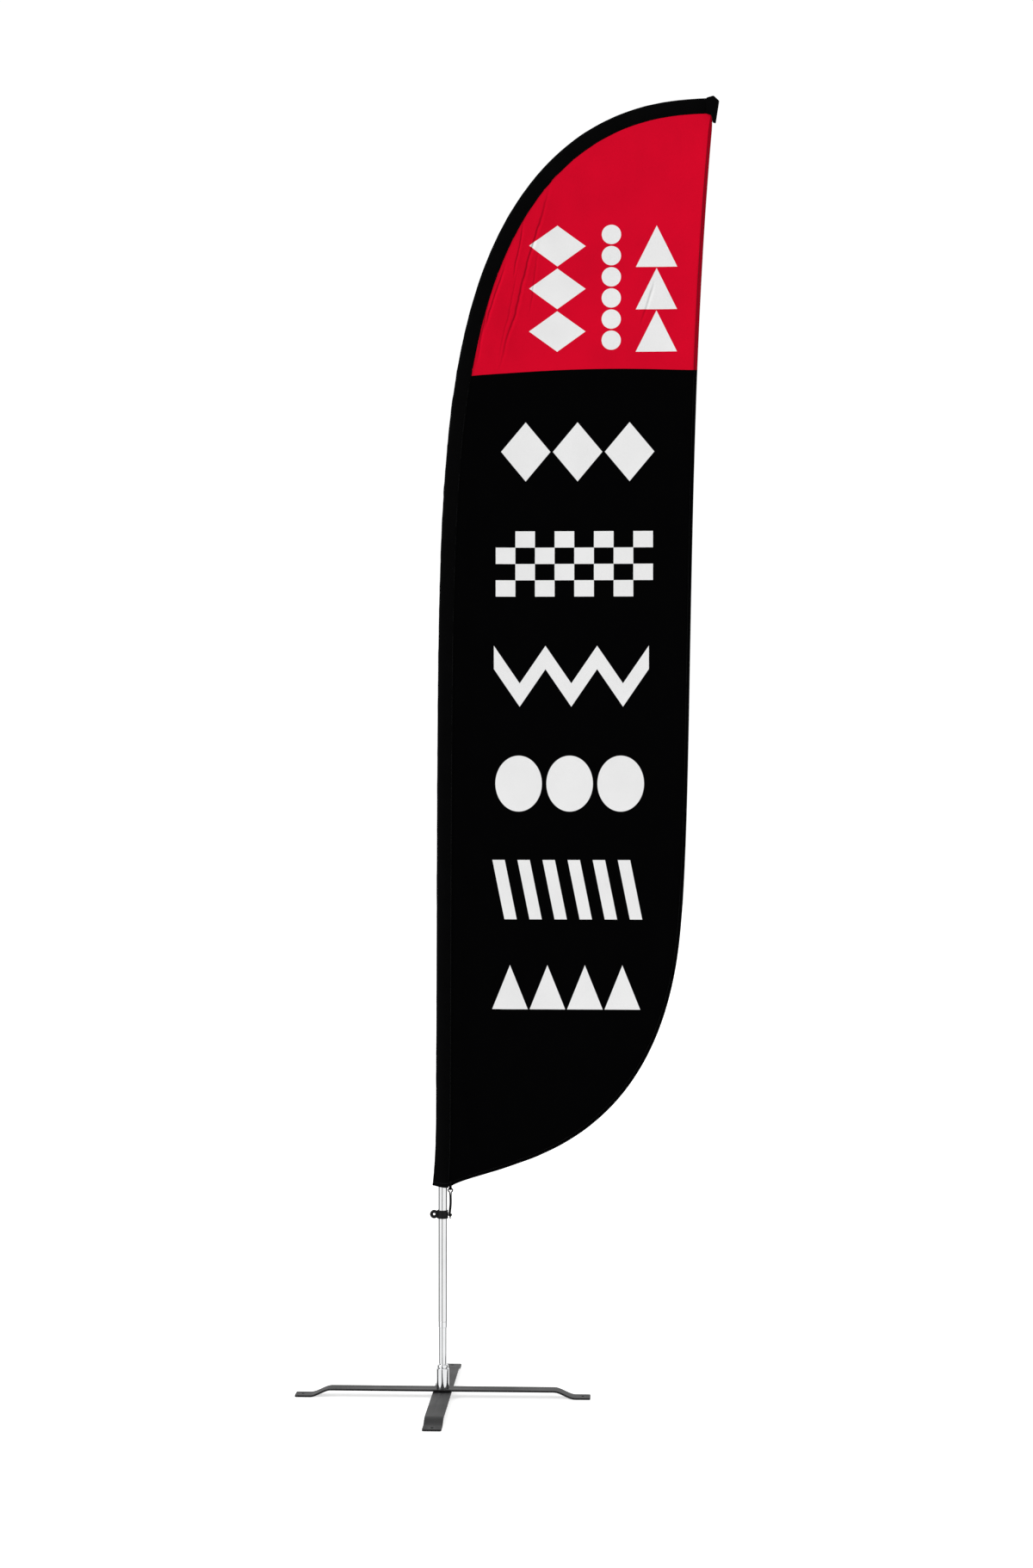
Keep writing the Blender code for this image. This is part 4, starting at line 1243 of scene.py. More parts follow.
@dataclass
class SleeveCut:
    """Where the sleeve's round, outer fold and seam lie along the pole."""

    width: float = 0.041
    fold_foot: float = 0.019
    fold_tip: float = 0.0075
    flare: float = 0.009
    mouth: float = 0.18
    seam_mouth: float = 0.0160
    rounds: tuple[Point, ...] = ((0.0, 0.0142), (0.5993, 0.0142), (1.5244, 0.0124),
                                 (SLEEVE_RUN, 0.0060))
    length: float = SLEEVE_RUN

    def near_mouth(self, along: float) -> float:
        """1 at the mouth, easing to 0 above it."""
        return max(1 - along / self.mouth, 0.0) ** 2

    def straight_fold(self, along: float) -> float:
        """From the pole's axis to the outer fold, without the flare."""
        return self.fold_foot + (self.fold_tip - self.fold_foot) * along / self.length

    def fold(self, along: float) -> float:
        """From the pole's axis to the outer fold."""
        return self.straight_fold(along) + self.flare * self.near_mouth(along)

    def seam(self, along: float) -> float:
        """From the pole's axis to the seam.

        Args:
            along: metres from the mouth.

        Returns:
            Metres.
        """
        straight = self.width - self.straight_fold(along)
        pinch = self.width - self.fold_foot - self.seam_mouth
        return straight - pinch * self.near_mouth(along)

    def round(self, along: float) -> float:
        """Radius where the sleeve wraps the pole."""
        for (low, one), (high, two) in zip(self.rounds, self.rounds[1:]):
            if along <= high:
                return one + (two - one) * (along - low) / (high - low)
        return self.rounds[-1][1]


LINE = PoleLine()
CUT = SleeveCut()


# ---- elastic cord and clip
@dataclass
class ElasticCord:
    """The braided elastic that pulls the flag's lower corner down to the clip."""

    radius: float = 0.0017
    length: float = 0.170
    spacing: float = 0.0012
    blend_end: float = 0.008
    knot_size: float = 0.00115
    knot_share: float = 0.92
    knot_steps: int = 72

    @property
    def high(self) -> float:
        """Height of the cord inside the corner strap."""
        return MOUTH - GAP - self.radius

    @property
    def front(self) -> float:
        """From the eye's middle to the cord in front of it."""
        return STRAP_HALF + self.radius + 2 * GAP

    def route(self) -> list[Vector]:
        """The route's own points: tail, eye, up, through the strap and down again.

        Returns:
            The points from the tail to the knot.
        """
        front, high = self.front, self.high
        eye, left, right, low = CLIP_EYE, STRAP_LEFT, STRAP_RIGHT, CLIP_MIDDLE
        return [Vector(point) for point in (
            (eye + 0.0040, -front - 0.0016, low - 0.0115),
            (eye + 0.0022, -front - 0.0008, low - 0.0050),
            (eye + 0.0004, -front + 0.0006, low - 0.0006),
            (eye, -0.0015, low),
            (eye, 0.0015, low),
            (eye, front - 0.0004, low + 0.0012),
            (eye - 0.0001, front + 0.0004, low + 0.0060),
            (eye + 0.0022, front - 0.0022, low + 0.0300),
            (left + 0.0017, 0.0012, high - 0.0125),
            (left - 0.0014, 0.0004, high - 0.0072),
            (left - 0.0023, 0.0, high - 0.0034),
            (left - 0.0006, 0.0, high - 0.0008),
            ((left + right) / 2, 0.0, high),
            (right + 0.0006, 0.0, high - 0.0008),
            (right + 0.0025, 0.0, high - 0.0034),
            (right + 0.0016, -0.0004, high - 0.0072),
            (right - 0.0012, -0.0014, high - 0.0125),
            (eye + 0.0058, -front + 0.0012, low + 0.0290),
            (eye + 0.0040, -front - 0.0022, low + 0.0080),
            (eye + 0.0036, -front - 0.0034, low + 0.0010),
        )]

    def smooth_route(self) -> list[Vector]:
        """Points read from a smooth curve through the route's own points.

        Returns:
            The points, about a spacing apart.
        """
        points = self.route()
        padded = [points[0] * 2 - points[1], *points, points[-1] * 2 - points[-2]]
        smooth = []
        for before, one, two, after in zip(padded, padded[1:], padded[2:], padded[3:]):
            steps = max(1, round((two - one).length / self.spacing))
            for step in range(steps):
                t = step / steps
                smooth.append(0.5 * (2 * one + (two - before) * t
                                     + (2 * before - 5 * one + 4 * two - after) * t * t
                                     + (3 * one - before - 3 * two + after) * t ** 3))
        smooth.append(points[-1])
        return smooth

    def tube(self, name: str, path: Sequence[Vector], radius: float,
             sides: int = 14) -> Piece:
        """A round cord along a path, with its braid's cut along it.

        Args:
            name: the piece's name.
            path: the cord's middle.
            radius: the cord's radius.
            sides: how many sides it has.

        Returns:
            The cord.
        """
        ways = [(path[min(k + 1, len(path) - 1)] - path[max(k - 1, 0)]).normalized()
                for k in range(len(path))]
        across = [ways[0].orthogonal().normalized()]
        for way in ways[1:]:
            across.append((across[-1] - across[-1].dot(way) * way).normalized())
        rows = len(path) - 1
        rounding = (0.72, 0.93, 1.0)

        def place(share: float, along: float) -> Vector:
            """A point on the cord's surface.

            Args:
                share: share of the way round.
                along: share of the way along.

            Returns:
                The point.
            """
            k = round(along * rows)
            end = min(k, rows - k)
            size = radius * rounding[min(end, 2)]
            turn = FULL_TURN * share
            side = ways[k].cross(across[k])
            return path[k] + size * (math.cos(turn) * across[k] + math.sin(turn) * side)

        return mapped_grid(name, sides, rows, place, lambda share, along: (
            share * FULL_TURN * radius, along * self.length), ring=True)

    def knot_path(self) -> list[Vector]:
        """A small overhand knot in front of the eye, where both ends meet.

        Returns:
            The knot's middle line.
        """
        middle = Vector((CLIP_EYE + 0.0040, -self.front - 0.0030, CLIP_MIDDLE - 0.0012))
        path = []
        for step in range(self.knot_steps + 1):
            t = FULL_TURN * step / self.knot_steps
            loop = Vector((math.sin(t) + 2 * math.sin(2 * t), -0.9 * math.sin(3 * t),
                           math.cos(t) - 2 * math.cos(2 * t)))
            path.append(middle + self.knot_size * loop)
        return path

    def build(self) -> None:
        path = self.smooth_route()
        run = sum((two - one).length for one, two in zip(path, path[1:]))
        log.info("elastic cord runs %.4f m", run)
        cord = self.tube("elastic_cord_braid", path, self.radius)
        cord.data.materials.append(PAINTS[Slot.ELASTIC])
        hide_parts("elastic_cord")
        knot = dress(self.tube("elastic_knot", self.knot_path(),
                               self.radius * self.knot_share),
                     Slot.ELASTIC, Body.CLIP)
        tuple(path[0])
        [tuple(p) for p in path]
        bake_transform(cord)
        log.info("%s: %d faces from pole to clip", cord.name, len(cord.data.polygons))


@dataclass
class TensionClip:
    """Moulded ring on the pole with a pull ear on one side and the cord's eye on the other."""

    ear_x: float = -0.0230
    ear_radius: float = 0.0115
    ear_hole: float = 0.0031
    eye_radius: float = 0.0046
    eye_hole: float = 0.0023
    thick: float = 0.0050
    rounding: float = 0.0009
    web_share: float = 0.85
    wall: float = 0.0020
    ring_height: float = 0.022
    groove_depth: float = 0.0005
    grooves: Point = (0.0042, 0.0168)
    lug_steps: int = 40

    def lug(self, x: float, radius: float, hole: float) -> Piece:
        """A round lug and the web that ties it to the ring's wall.

        Args:
            x: where the lug's middle is.
            radius: the lug's radius.
            hole: its hole's radius.

        Returns:
            The lug, standing in its place.
        """
        side = math.copysign(1.0, x)
        wall_middle = side * (TUBE_RADIUS + GAP + self.wall / 2)
        first = math.asin(self.web_share)
        outline = [(wall_middle, -self.web_share * radius), (wall_middle, self.web_share * radius)]
        for k in range(self.lug_steps + 1):
            turn = first + (FULL_TURN - 2 * first) * k / self.lug_steps
            outline.append((x - side * radius * math.cos(turn), radius * math.sin(turn)))
        lug = cut_plate("lug", outline, ((x, hole),), self.thick, self.rounding)
        stand = Matrix.Translation((0, self.thick / 2, CLIP_MIDDLE))
        lug.data.transform(stand @ Matrix.Rotation(math.pi / 2, 4, "X"))
        return lug

    def build(self) -> None:
        """Make the clip as one moulded skin."""
        bore = TUBE_RADIUS + GAP
        outer = bore + self.wall
        low, high = CLIP_MIDDLE - self.ring_height / 2, CLIP_MIDDLE + self.ring_height / 2
        groove = outer - self.groove_depth
        corners = [(bore, low), (outer, low)]
        for start in self.grooves:
            at = low + start
            corners += [(outer, at), (groove, at + 0.0003), (groove, at + 0.0007),
                        (outer, at + 0.0010)]
        corners += [(outer, high), (bore, high)]
        ring = spun("ring", rounded_path(corners, self.rounding * 0.6, 3, closed=True), 64, True)
        clip = joined("tension_clip_moulding", [
            ring, self.lug(self.ear_x, self.ear_radius, self.ear_hole),
            self.lug(CLIP_EYE, self.eye_radius, self.eye_hole)])
        dress(clip, Slot.BLACK_PLASTIC, Body.CLIP, "tension_clip")


# ---- the sail's outline
class Rail:
    """An edge of the flag, read by its height."""

    def __init__(self, points: Iterable[Vector]) -> None:
        """Keep the points in order of height.

        Args:
            points: points of the edge, as X and Z.
        """
        pairs = sorted((point.y, point.x) for point in points)
        self.heights = np.array([pair[0] for pair in pairs])
        self.sides = np.array([pair[1] for pair in pairs])

    def at(self, z: float) -> float:
        """The edge's X at a height."""
        return float(np.interp(z, self.heights, self.sides))


@dataclass
class SailOutline:
    """The panel's seam beside the sleeve and the free edge."""

    shape: tuple[Point, ...] = ((0.8902, 0.7174), (0.9308, 0.3519), (0.8706, 0.2282),
                                (0.7685, 0.0164), (0.1154, 0.0226))
    steps: int = 160
    seam_steps: int = 600
    tuck: float = 0.0014
    least_width: float = 0.0015
    free: list[Vector] = field(default_factory=list)

    def __post_init__(self) -> None:
        """Work out both edges from the lower corner up."""
        corner = Vector((CUT.seam(0.0) + 1.5 * GAP, LINE.foot - GAP))
        tip = (LINE.frame(LINE.length) @ Vector((CUT.seam(LINE.length) + 0.0017, 0, -0.0027))).xz
        guides = [tip, *(corner + Vector(share) * (tip - corner) for share in self.shape), corner]
        down = bezier(*guides[:4], self.steps) + bezier(*guides[3:], self.steps) + [corner]
        self.free = down[::-1]
        self.free_rail = Rail(self.free)
        seam = self.seam_points(0.0)
        self.top = seam[-1].y
        self.seam_rail = Rail(seam)
        self.tucked_rail = Rail(self.seam_points(self.tuck))

    def seam_points(self, tuck: float) -> list[Vector]:
        """Points of the seam from the mouth up, moved into the sleeve by a tuck."""
        steps = [LINE.length * count / self.seam_steps for count in range(self.seam_steps + 1)]
        return [(LINE.frame(along) @ Vector((CUT.seam(along) - tuck, 0, 0))).xz for along in steps]

    def way(self, k: int) -> Vector:
        """The free edge's direction at one of its points."""
        last = len(self.free) - 1
        return (self.free[min(k + 1, last)] - self.free[max(k - 1, 0)]).normalized()

    def inner(self, k: int, inset: float) -> Vector:
        """A point of the free edge moved into the flag."""
        way = self.way(k)
        return self.free[k] + inset * Vector((-way.y, way.x))

    def rows(self, inset: float, count: int) -> tuple[np.ndarray, Rail]:
        """Spread rows of cloth evenly along both edges.

        Args:
            inset: from the free edge to the rows' right ends.
            count: the number of rows.

        Returns:
            The rows' heights and the edge that they end on.
        """
        ends = Rail(self.inner(k, inset) for k in range(len(self.free)))
        heights = np.linspace(ends.heights[0], ends.heights[-1], 6000)
        left = np.interp(heights, self.tucked_rail.heights, self.tucked_rail.sides)
        right = np.interp(heights, ends.heights, ends.sides)
        wide = right - left > self.least_width
        first, last = int(np.argmax(wide)), len(wide) - int(np.argmax(wide[::-1]))
        heights, left, right = heights[first:last], left[first:last], right[first:last]
        rise = np.diff(heights)
        run = np.hypot(rise, np.diff(left)) + np.hypot(rise, np.diff(right))
        travelled = np.concatenate([[0.0], np.cumsum(run)])
        return np.interp(np.linspace(0, travelled[-1], count), travelled, heights), ends


OUTLINE = SailOutline()


# ---- hanging cloth
@dataclass
class DrapeField:
    """How the flag's cloth hangs: a cloth simulation, read as a smooth field of shifts."""

    cell: float = 0.018
    frames: int = 36
    spare: float = 0.006
    wind: float = 1.5
    edge_hold: float = 0.28
    depth: float = 0.018
    slide: float = 0.002
    seed: int = 7
    cloth: tuple[tuple[str, float | str], ...] = (
        ("quality", 6), ("mass", 0.11), ("tension_stiffness", 30),
        ("compression_stiffness", 30), ("shear_stiffness", 12), ("bending_stiffness", 0.06),
        ("air_damping", 2.0), ("vertex_group_mass", "pin"), ("pin_stiffness", 1.2))
    low: Vector = field(default_factory=lambda: Vector((0.0, 0.0)))
    shifts: np.ndarray = field(default_factory=lambda: np.zeros((1, 1, 3)))

    def settle(self) -> None:
        """Run the simulation once and keep each grid point's shift."""
        high = Vector((max(point.x for point in OUTLINE.free), OUTLINE.top))
        self.low = Vector((0.0, LINE.foot - 0.01))
        columns = math.ceil((high.x - self.low.x) / self.cell) + 1
        rows = math.ceil((high.y - self.low.y) / self.cell) + 1
        self.shifts = np.zeros((columns + 1, rows + 1, 3))
        cloth, places = self.make_cloth(columns, rows)
        self.pin(cloth)
        self.run(cloth)
        posed = cloth.evaluated_get(bpy.context.evaluated_depsgraph_get())
        for vert in posed.data.vertices:
            column, row = places[vert.index]
            x, z = self.low.x + column * self.cell, self.low.y + row * self.cell
            self.shifts[column, row] = (vert.co.x - x, vert.co.y, vert.co.z - z)
        self.spread(set(places))
        bpy.data.objects.remove(cloth)
        log.info("cloth settled: depth %.4f to %.4f m", self.shifts[..., 1].min(),
                 self.shifts[..., 1].max())

    def make_cloth(self, columns: int,
                   rows: int) -> tuple[Piece, list[tuple[int, int]]]:
        """A flat cloth of whole cells over the outline, and each vertex's place in the grid.

        Args:
            columns: cells across.
            rows: cells up.

        Returns:
            The cloth and the places.
        """
        shape = bmesh.new()
        size = Vector((columns * self.cell, rows * self.cell))
        bmesh.ops.create_grid(shape, x_segments=columns, y_segments=rows, size=0.5)
        for vert in shape.verts:
            x, z = (vert.co.x + 0.5) * size.x, (vert.co.y + 0.5) * size.y
            vert.co = (self.low.x + x, 0.0, self.low.y + z)
        outside = [face for face in shape.faces if not self.covers(face.calc_center_median())]
        bmesh.ops.delete(shape, geom=outside, context="FACES")
        places = [(round((vert.co.x - self.low.x) / self.cell),
                   round((vert.co.z - self.low.y) / self.cell)) for vert in shape.verts]
        return finished(shape, "drape"), places

    def covers(self, at: Vector) -> bool:
        """Whether a cell's middle is on the flag.

        Args:
            at: the cell's middle.

        Returns:
            True on the flag.
        """
        inside = LINE.foot < at.z < OUTLINE.top
        spare = self.cell * 0.4
        seam, free = OUTLINE.seam_rail.at(at.z), OUTLINE.free_rail.at(at.z)
        return inside and seam - spare < at.x < free + spare

    def pin(self, cloth: Piece) -> None:
        """Hold the cloth firmly along the sleeve and lightly along its free edge."""
        group = cloth.vertex_groups.new(name="pin")
        for vert in cloth.data.vertices:
            to_seam = vert.co.x - OUTLINE.seam_rail.at(vert.co.z)
            to_free = OUTLINE.free_rail.at(vert.co.z) - vert.co.x
            near = self.cell * 1.1
            held = (to_seam < near or vert.co.z > OUTLINE.top - 0.06
                    or vert.co.z < LINE.foot + 0.03)
            weight = 1.0 if held else self.edge_hold if to_free < near else 0.0
            group.add([vert.index], weight, "REPLACE")
            vert.co.y += 0.0008 * noise.noise(Vector((vert.co.x * 9, vert.co.z * 7, self.seed)))

    def run(self, cloth: Piece) -> None:
        """Step through the simulation with a light breeze from the front.

        Args:
            cloth: the pinned cloth.
        """
        scene = bpy.context.scene
        still = tuple(scene.gravity)
        scene.gravity = (0.0, self.wind, -9.81)
        made = cloth.modifiers.new("hang", "CLOTH")
        for name, value in self.cloth:
            setattr(made.settings, name, value)
        made.settings.shrink_min = -self.spare
        made.collision_settings.use_collision = False
        made.collision_settings.use_self_collision = False
        made.point_cache.frame_start, made.point_cache.frame_end = 1, self.frames
        for frame_number in range(1, self.frames + 1):
            scene.frame_set(frame_number)
        scene.gravity = still

    def spread(self, known: set[tuple[int, int]]) -> None:
        """Copy the nearest known shifts outwards, so that the field has no hard rim."""
        columns, rows = self.shifts.shape[:2]
        for _ in range(6):
            fresh = {}
            for column in range(columns):
                for row in range(rows):
                    if (column, row) in known:
                        continue
                    near = [(column + a, row + b) for a in (-1, 0, 1) for b in (-1, 0, 1)]
                    found = [self.shifts[place] for place in near if place in known]
                    if found:
                        fresh[column, row] = np.mean(found, axis=0)
            for place, shift in fresh.items():
                self.shifts[place] = shift
            known |= set(fresh)

    def shift(self, x: float, z: float) -> Vector:
        """The cloth's shift at a place, smoothed and held within its limits.

        Args:
            x: across the flat flag.
            z: height on it.

        Returns:
            The shift in metres.
        """
        columns, rows = self.shifts.shape[:2]
        across = min(max((x - self.low.x) / self.cell, 1.0), columns - 3.001)
        along = min(max((z - self.low.y) / self.cell, 1.0), rows - 3.001)
        first, second = self.weights(across % 1), self.weights(along % 1)
        i, j = int(across) - 1, int(along) - 1
        block = self.shifts[i:i + 4, j:j + 4]
        dx, dy, dz = np.einsum("i,j,ijk->k", first, second, block)
        return Vector((self.limit(dx, self.slide), self.limit(dy, self.depth),
                       self.limit(dz, self.slide)))

    @staticmethod
    def weights(t: float) -> np.ndarray:
        """Weights of a cubic B-spline at a share of a cell."""
        return np.array([(1 - t) ** 3, 3 * t ** 3 - 6 * t ** 2 + 4,
                         -3 * t ** 3 + 3 * t ** 2 + 3 * t + 1, t ** 3]) / 6

    @staticmethod
    def limit(value: float, most: float) -> float:
        """Hold a value softly between two limits."""
        return most * math.tanh(value / most)


@dataclass
class SailShape:
    """Where every place of the flat flag goes when it hangs."""

    drape: DrapeField
    pucker: float = 0.0006
    corner_run: float = 0.10
    tip_run: float = 0.06
    seam_run: float = 0.05
    free_run: float = 0.03

    def point(self, x: float, z: float) -> Vector:
        """A place of the flat flag as it hangs.

        Args:
            x: across the flat flag.
            z: height on it.

        Returns:
            Where that place hangs.
        """
        seam, free = OUTLINE.seam_rail.at(z), OUTLINE.free_rail.at(z)
        corner = ramp(z - LINE.foot - 0.02, self.corner_run)
        tip = ramp(OUTLINE.free[-1].y - z, self.tip_run)
        beside = ramp(x - seam, self.seam_run)
        hold = corner * tip * beside * beside * (3 - 2 * beside)
        moved = self.drape.shift(x, z) * hold
        moved.x *= ramp(free - x, self.free_run)
        at = Vector((x, z))
        moved.y -= sum(crease.rise(at) for crease in CREASES) * hold
        near_hem = fade(free - x - 0.010, 0.010)
        near_seam = fade(x - seam - 0.002, 0.012)
        gather = noise.noise(Vector((x * 12, z * 62, 3.0)))
        moved.y += self.pucker * gather * (near_hem + 1.5 * near_seam) * corner * tip
        return Vector((x, 0.0, z)) + moved


@dataclass
class FeatherSail:
    """The printed panel, the hem along its free edge and the hem's stitches."""

    columns: int = 56
    hem_width: float = 0.0095
    hem_thick: float = 0.0022
    panel_thick: float = 0.0007
    rows: int = 330
    flat: Point = (0.71, 2.90)
    flat_area: float = 1.59
    stitch_rows: tuple[Point, ...] = ((-0.0022, -1), (0.0036, -1), (0.0036, 1))

    def build(self) -> None:
        """Settle the cloth and make the panel, its hem and their stitches."""
        drape = DrapeField()
        drape.settle()
        self.hang = SailShape(drape)
        panel = self.build_panel()
        hem = self.build_hem()
        thread = self.build_stitches()
        area = sum(face.area for face in panel.data.polygons)
        log.info("panel covers %.3f m2", area)

    def build_panel(self) -> Piece:
        """The printed panel, tucked into the seam and into the hem.

        Returns:
            The panel.
        """
        heights, ends = OUTLINE.rows(self.hem_width - 0.003, self.rows)

        def flat(across: float, along: float) -> Point:
            """The place on the flat cut at two shares.

            Args:
                across: share of the way across.
                along: share of the way up.

            Returns:
                X and Z.
            """
            z = float(heights[round(along * (self.rows - 1))])
            start, end = OUTLINE.tucked_rail.at(z), ends.at(z)
            eased = across - 0.06 * math.sin(FULL_TURN * across) / math.pi
            return start + (end - start) * eased, z

        # the last function gives painted shade on the panel beside the sleeve's seam, fading within
        # a few millimetres
        panel = mapped_grid("flag_panel_cloth", self.columns, self.rows - 1,
                            lambda u, w: self.hang.point(*flat(u, w)), flat,
                            lambda u, w: math.exp(-u * 160) * 0.35, sharp=80)
        thicken(panel, self.panel_thick)
        return dress(panel, Slot.PRINTED_CLOTH, Body.POLE, "flag_panel")

    def hem_frame(self, k: int) -> tuple[Vector, Vector]:
        """The hem's middle on the flat flag at a station, and the way across it."""
        way = OUTLINE.way(k)
        return OUTLINE.inner(k, self.hem_width / 2), Vector((-way.y, way.x))

    def build_hem(self) -> Piece:
        """The folded hem as a flat closed tube of cloth.

        Returns:
            The hem.
        """
        last = len(OUTLINE.free) - 1
        first = next(k for k in range(last) if OUTLINE.free[k].x > OUTLINE.free[0].x + 0.0005)

        def flat(share: float, along: float) -> tuple[Vector, float, float]:
            """The hem's place on the flat flag, its thickness there and its way across.

            Args:
                share: share of the way round.
                along: share of the way along.

            Returns:
                The three of them.
            """
            k = first + round(along * (last - first))
            middle, across = self.hem_frame(k)
            turn = FULL_TURN * share
            out, off = math.cos(turn), math.sin(turn)
            wide = math.copysign(abs(out) ** 0.55, out) * self.hem_width / 2
            end = min(k - first, last - k)
            full = min(1.0, (end + 1.5) / 4)
            thick = math.copysign(abs(off) ** 0.55, off) * self.hem_thick / 2 * full
            return middle + across * wide * full, thick, out

        def place(share: float, along: float) -> Vector:
            """A point on the hanging hem.

            Args:
                share: share of the way round.
                along: share of the way along.

            Returns:
                The point.
            """
            at, thick, _ = flat(share, along)
            ripple = 0.00035 * noise.noise(Vector((at.x * 70, at.y * 70, 9.0)))
            return self.hang.point(at.x, at.y) + Vector((0.0, thick + ripple, 0.0))

        def seam(share: float, along: float) -> float:
            """Painted shade: dark all over the hem, and darkest where the hem's fold meets the
            panel.
            """
            return 0.66 + 0.30 * max(0.0, flat(share, along)[2]) ** 3

        hem = mapped_grid("flag_hem", 20, last - first, place,
                          lambda u, w: tuple(flat(u, w)[0]), seam, ring=True, sharp=80)
        return dress(hem, Slot.PRINTED_CLOTH, Body.POLE, "trailing_hem")

    def build_stitches(self) -> Piece:
        """Two rows of stitches on both sides of the hem.

        Returns:
            The stitches as one piece.
        """
        places = []
        last = len(OUTLINE.free) - 1
        run = 0.0
        for k in range(4, last - 6):
            step = (OUTLINE.free[k + 1] - OUTLINE.free[k]).length
            while run < step:
                share = run / step
                for across, side in self.stitch_rows:
                    middle, way = self.hem_frame(k)
                    ahead = self.hem_frame(k + 1)[0]
                    at = middle.lerp(ahead, share) + way * across
                    here = self.hang.point(at.x, at.y)
                    there = self.hang.point(*(at + (ahead - middle).normalized() * 0.002))
                    out = Vector((0.0, side, 0.0))
                    places.append(facing(here + out * (self.hem_thick / 2 + 0.00003),
                                         there - here, out))
                run += STITCH_RUN
            run -= step
        return sew("flag_hem_stitches", STITCH_LENGTH, places)


@dataclass
class FlagSleeve:
    """The black pole sleeve: a wide cloth tube folded round the pole and seamed to the panel."""

    rows: int = 540
    half: int = 20
    wall: float = 0.0008
    slant: float = 0.0065
    slant_run: float = 0.06
    tight_run: float = 0.02
    flat_width: float = 0.097
    seam_allowance: float = 0.0028
    mouth_turn_up: float = 0.012

    def section(self, along: float) -> list[Point]:
        """The sleeve's outline across the pole, from the seam round the front to the fold.

        Args:
            along: metres from the mouth.

        Returns:
            The front half's points, as X and depth.
        """
        radius, seam, fold = CUT.round(along), CUT.seam(along), CUT.fold(along)
        to_seam = math.acos(min(1.0, radius / seam))
        to_fold = math.pi - math.acos(min(1.0, radius / fold))
        start = (radius * math.cos(to_seam), radius * math.sin(to_seam))
        end = (radius * math.cos(to_fold), radius * math.sin(to_fold))
        line, back = 5, 3
        middle = self.half - line - back
        points = [(seam + (start[0] - seam) * k / line, start[1] * k / line) for k in range(line)]
        for k in range(middle):
            turn = to_seam + (to_fold - to_seam) * k / middle
            points.append((radius * math.cos(turn), radius * math.sin(turn)))
        points += [(end[0] + (-fold - end[0]) * k / back, end[1] * (1 - k / back))
                   for k in range(back + 1)]
        return points

    def place(self, share: float, share_along: float) -> Vector:
        """A point of the sleeve's outside.

        Args:
            share: share of the way round.
            share_along: share of the way up.

        Returns:
            The point.
        """
        along = CUT.length * share_along
        k = round(share * 2 * self.half)
        front = k <= self.half
        x, y = self.section(along)[k if front else 2 * self.half - k]
        side = -1.0 if front else 1.0
        y = max(y, 0.0006) * side
        tight = ramp(along, self.tight_run) * ramp(CUT.length - along, self.tight_run)
        lift = self.wrinkle(x, y, along) * tight
        to_fold = (CUT.seam(along) - x) / (CUT.seam(along) + CUT.fold(along))
        along += self.slant * to_fold * max(0.0, 1 - along / self.slant_run) ** 2
        out = Vector((x, y)).normalized() * lift
        return LINE.frame(along) @ Vector((x + out.x, y + out.y, 0.0))

    @staticmethod
    def wrinkle(x: float, y: float, along: float) -> float:
        """How far the cloth's small folds stand off the pole.

        Args:
            x: across the sleeve.
            y: depth.
            along: metres from the mouth.

        Returns:
            Metres off the pole.
        """
        loose = math.exp(-((along - 2.0) / 0.45) ** 2)
        slack = noise.noise(Vector((x * 30 + 2, y * 30, along * 30)))
        draw = noise.noise(Vector((x * 40, y * 40 + 5, along * 62 + x * 70)))
        long_fold = noise.noise(Vector((x * 80, y * 80, along * 7)))
        return (max(0.0, slack) * (0.0006 + 0.0011 * loose) + max(0.0, draw) * 0.0007 * loose
                + max(0.0, long_fold) * 0.0005)

    def build(self) -> None:
        """Make the sleeve and the stitches beside its seam."""
        def flat(share: float, along: float) -> Point:
            """The place on the sleeve's flat cut."""
            return share * self.flat_width, along * CUT.length

        def seam(share: float, along: float) -> float:
            """Painted shade where the seam pulls the two layers together."""
            return 0.6 * math.exp(-min(share, 1 - share) * 40)

        sleeve = mapped_grid("flag_sleeve_cloth", 2 * self.half, self.rows, self.place, flat, seam,
                             ring=True, ends=False, sharp=75)
        thicken(sleeve, self.wall, -1.0)
        dress(sleeve, Slot.BLACK_CLOTH, Body.POLE, "flag_sleeve")
        thread = sew("flag_sleeve_stitches", STITCH_LENGTH, self.stitches())

    def stitches(self) -> list[Matrix]:
        """Places of the stitches on both faces beside the seam.

        Returns:
            A matrix for each stitch, the mouth's included.
        """
        places = []
        margin, back = 0.010, self.seam_allowance
        for count in range(int((CUT.length - 2 * margin) / STITCH_RUN)):
            along = margin + count * STITCH_RUN
            frame_at = LINE.frame(along)
            radius, seam = CUT.round(along), CUT.seam(along)
            rise = math.pi / 2 - math.acos(radius / seam)
            for side in (-1.0, 1.0):
                at = Vector((seam - back * math.cos(rise), side * back * math.sin(rise), 0.0))
                out = Vector((math.sin(rise), side * math.cos(rise), 0.0))
                way = frame_at.to_3x3() @ Vector((0, 0, 1))
                outward = frame_at.to_3x3() @ out
                lifted = frame_at @ (at + out * STITCH_LIFT)
                places.append(facing(lifted, way, outward))
        return places + self.mouth_stitches()

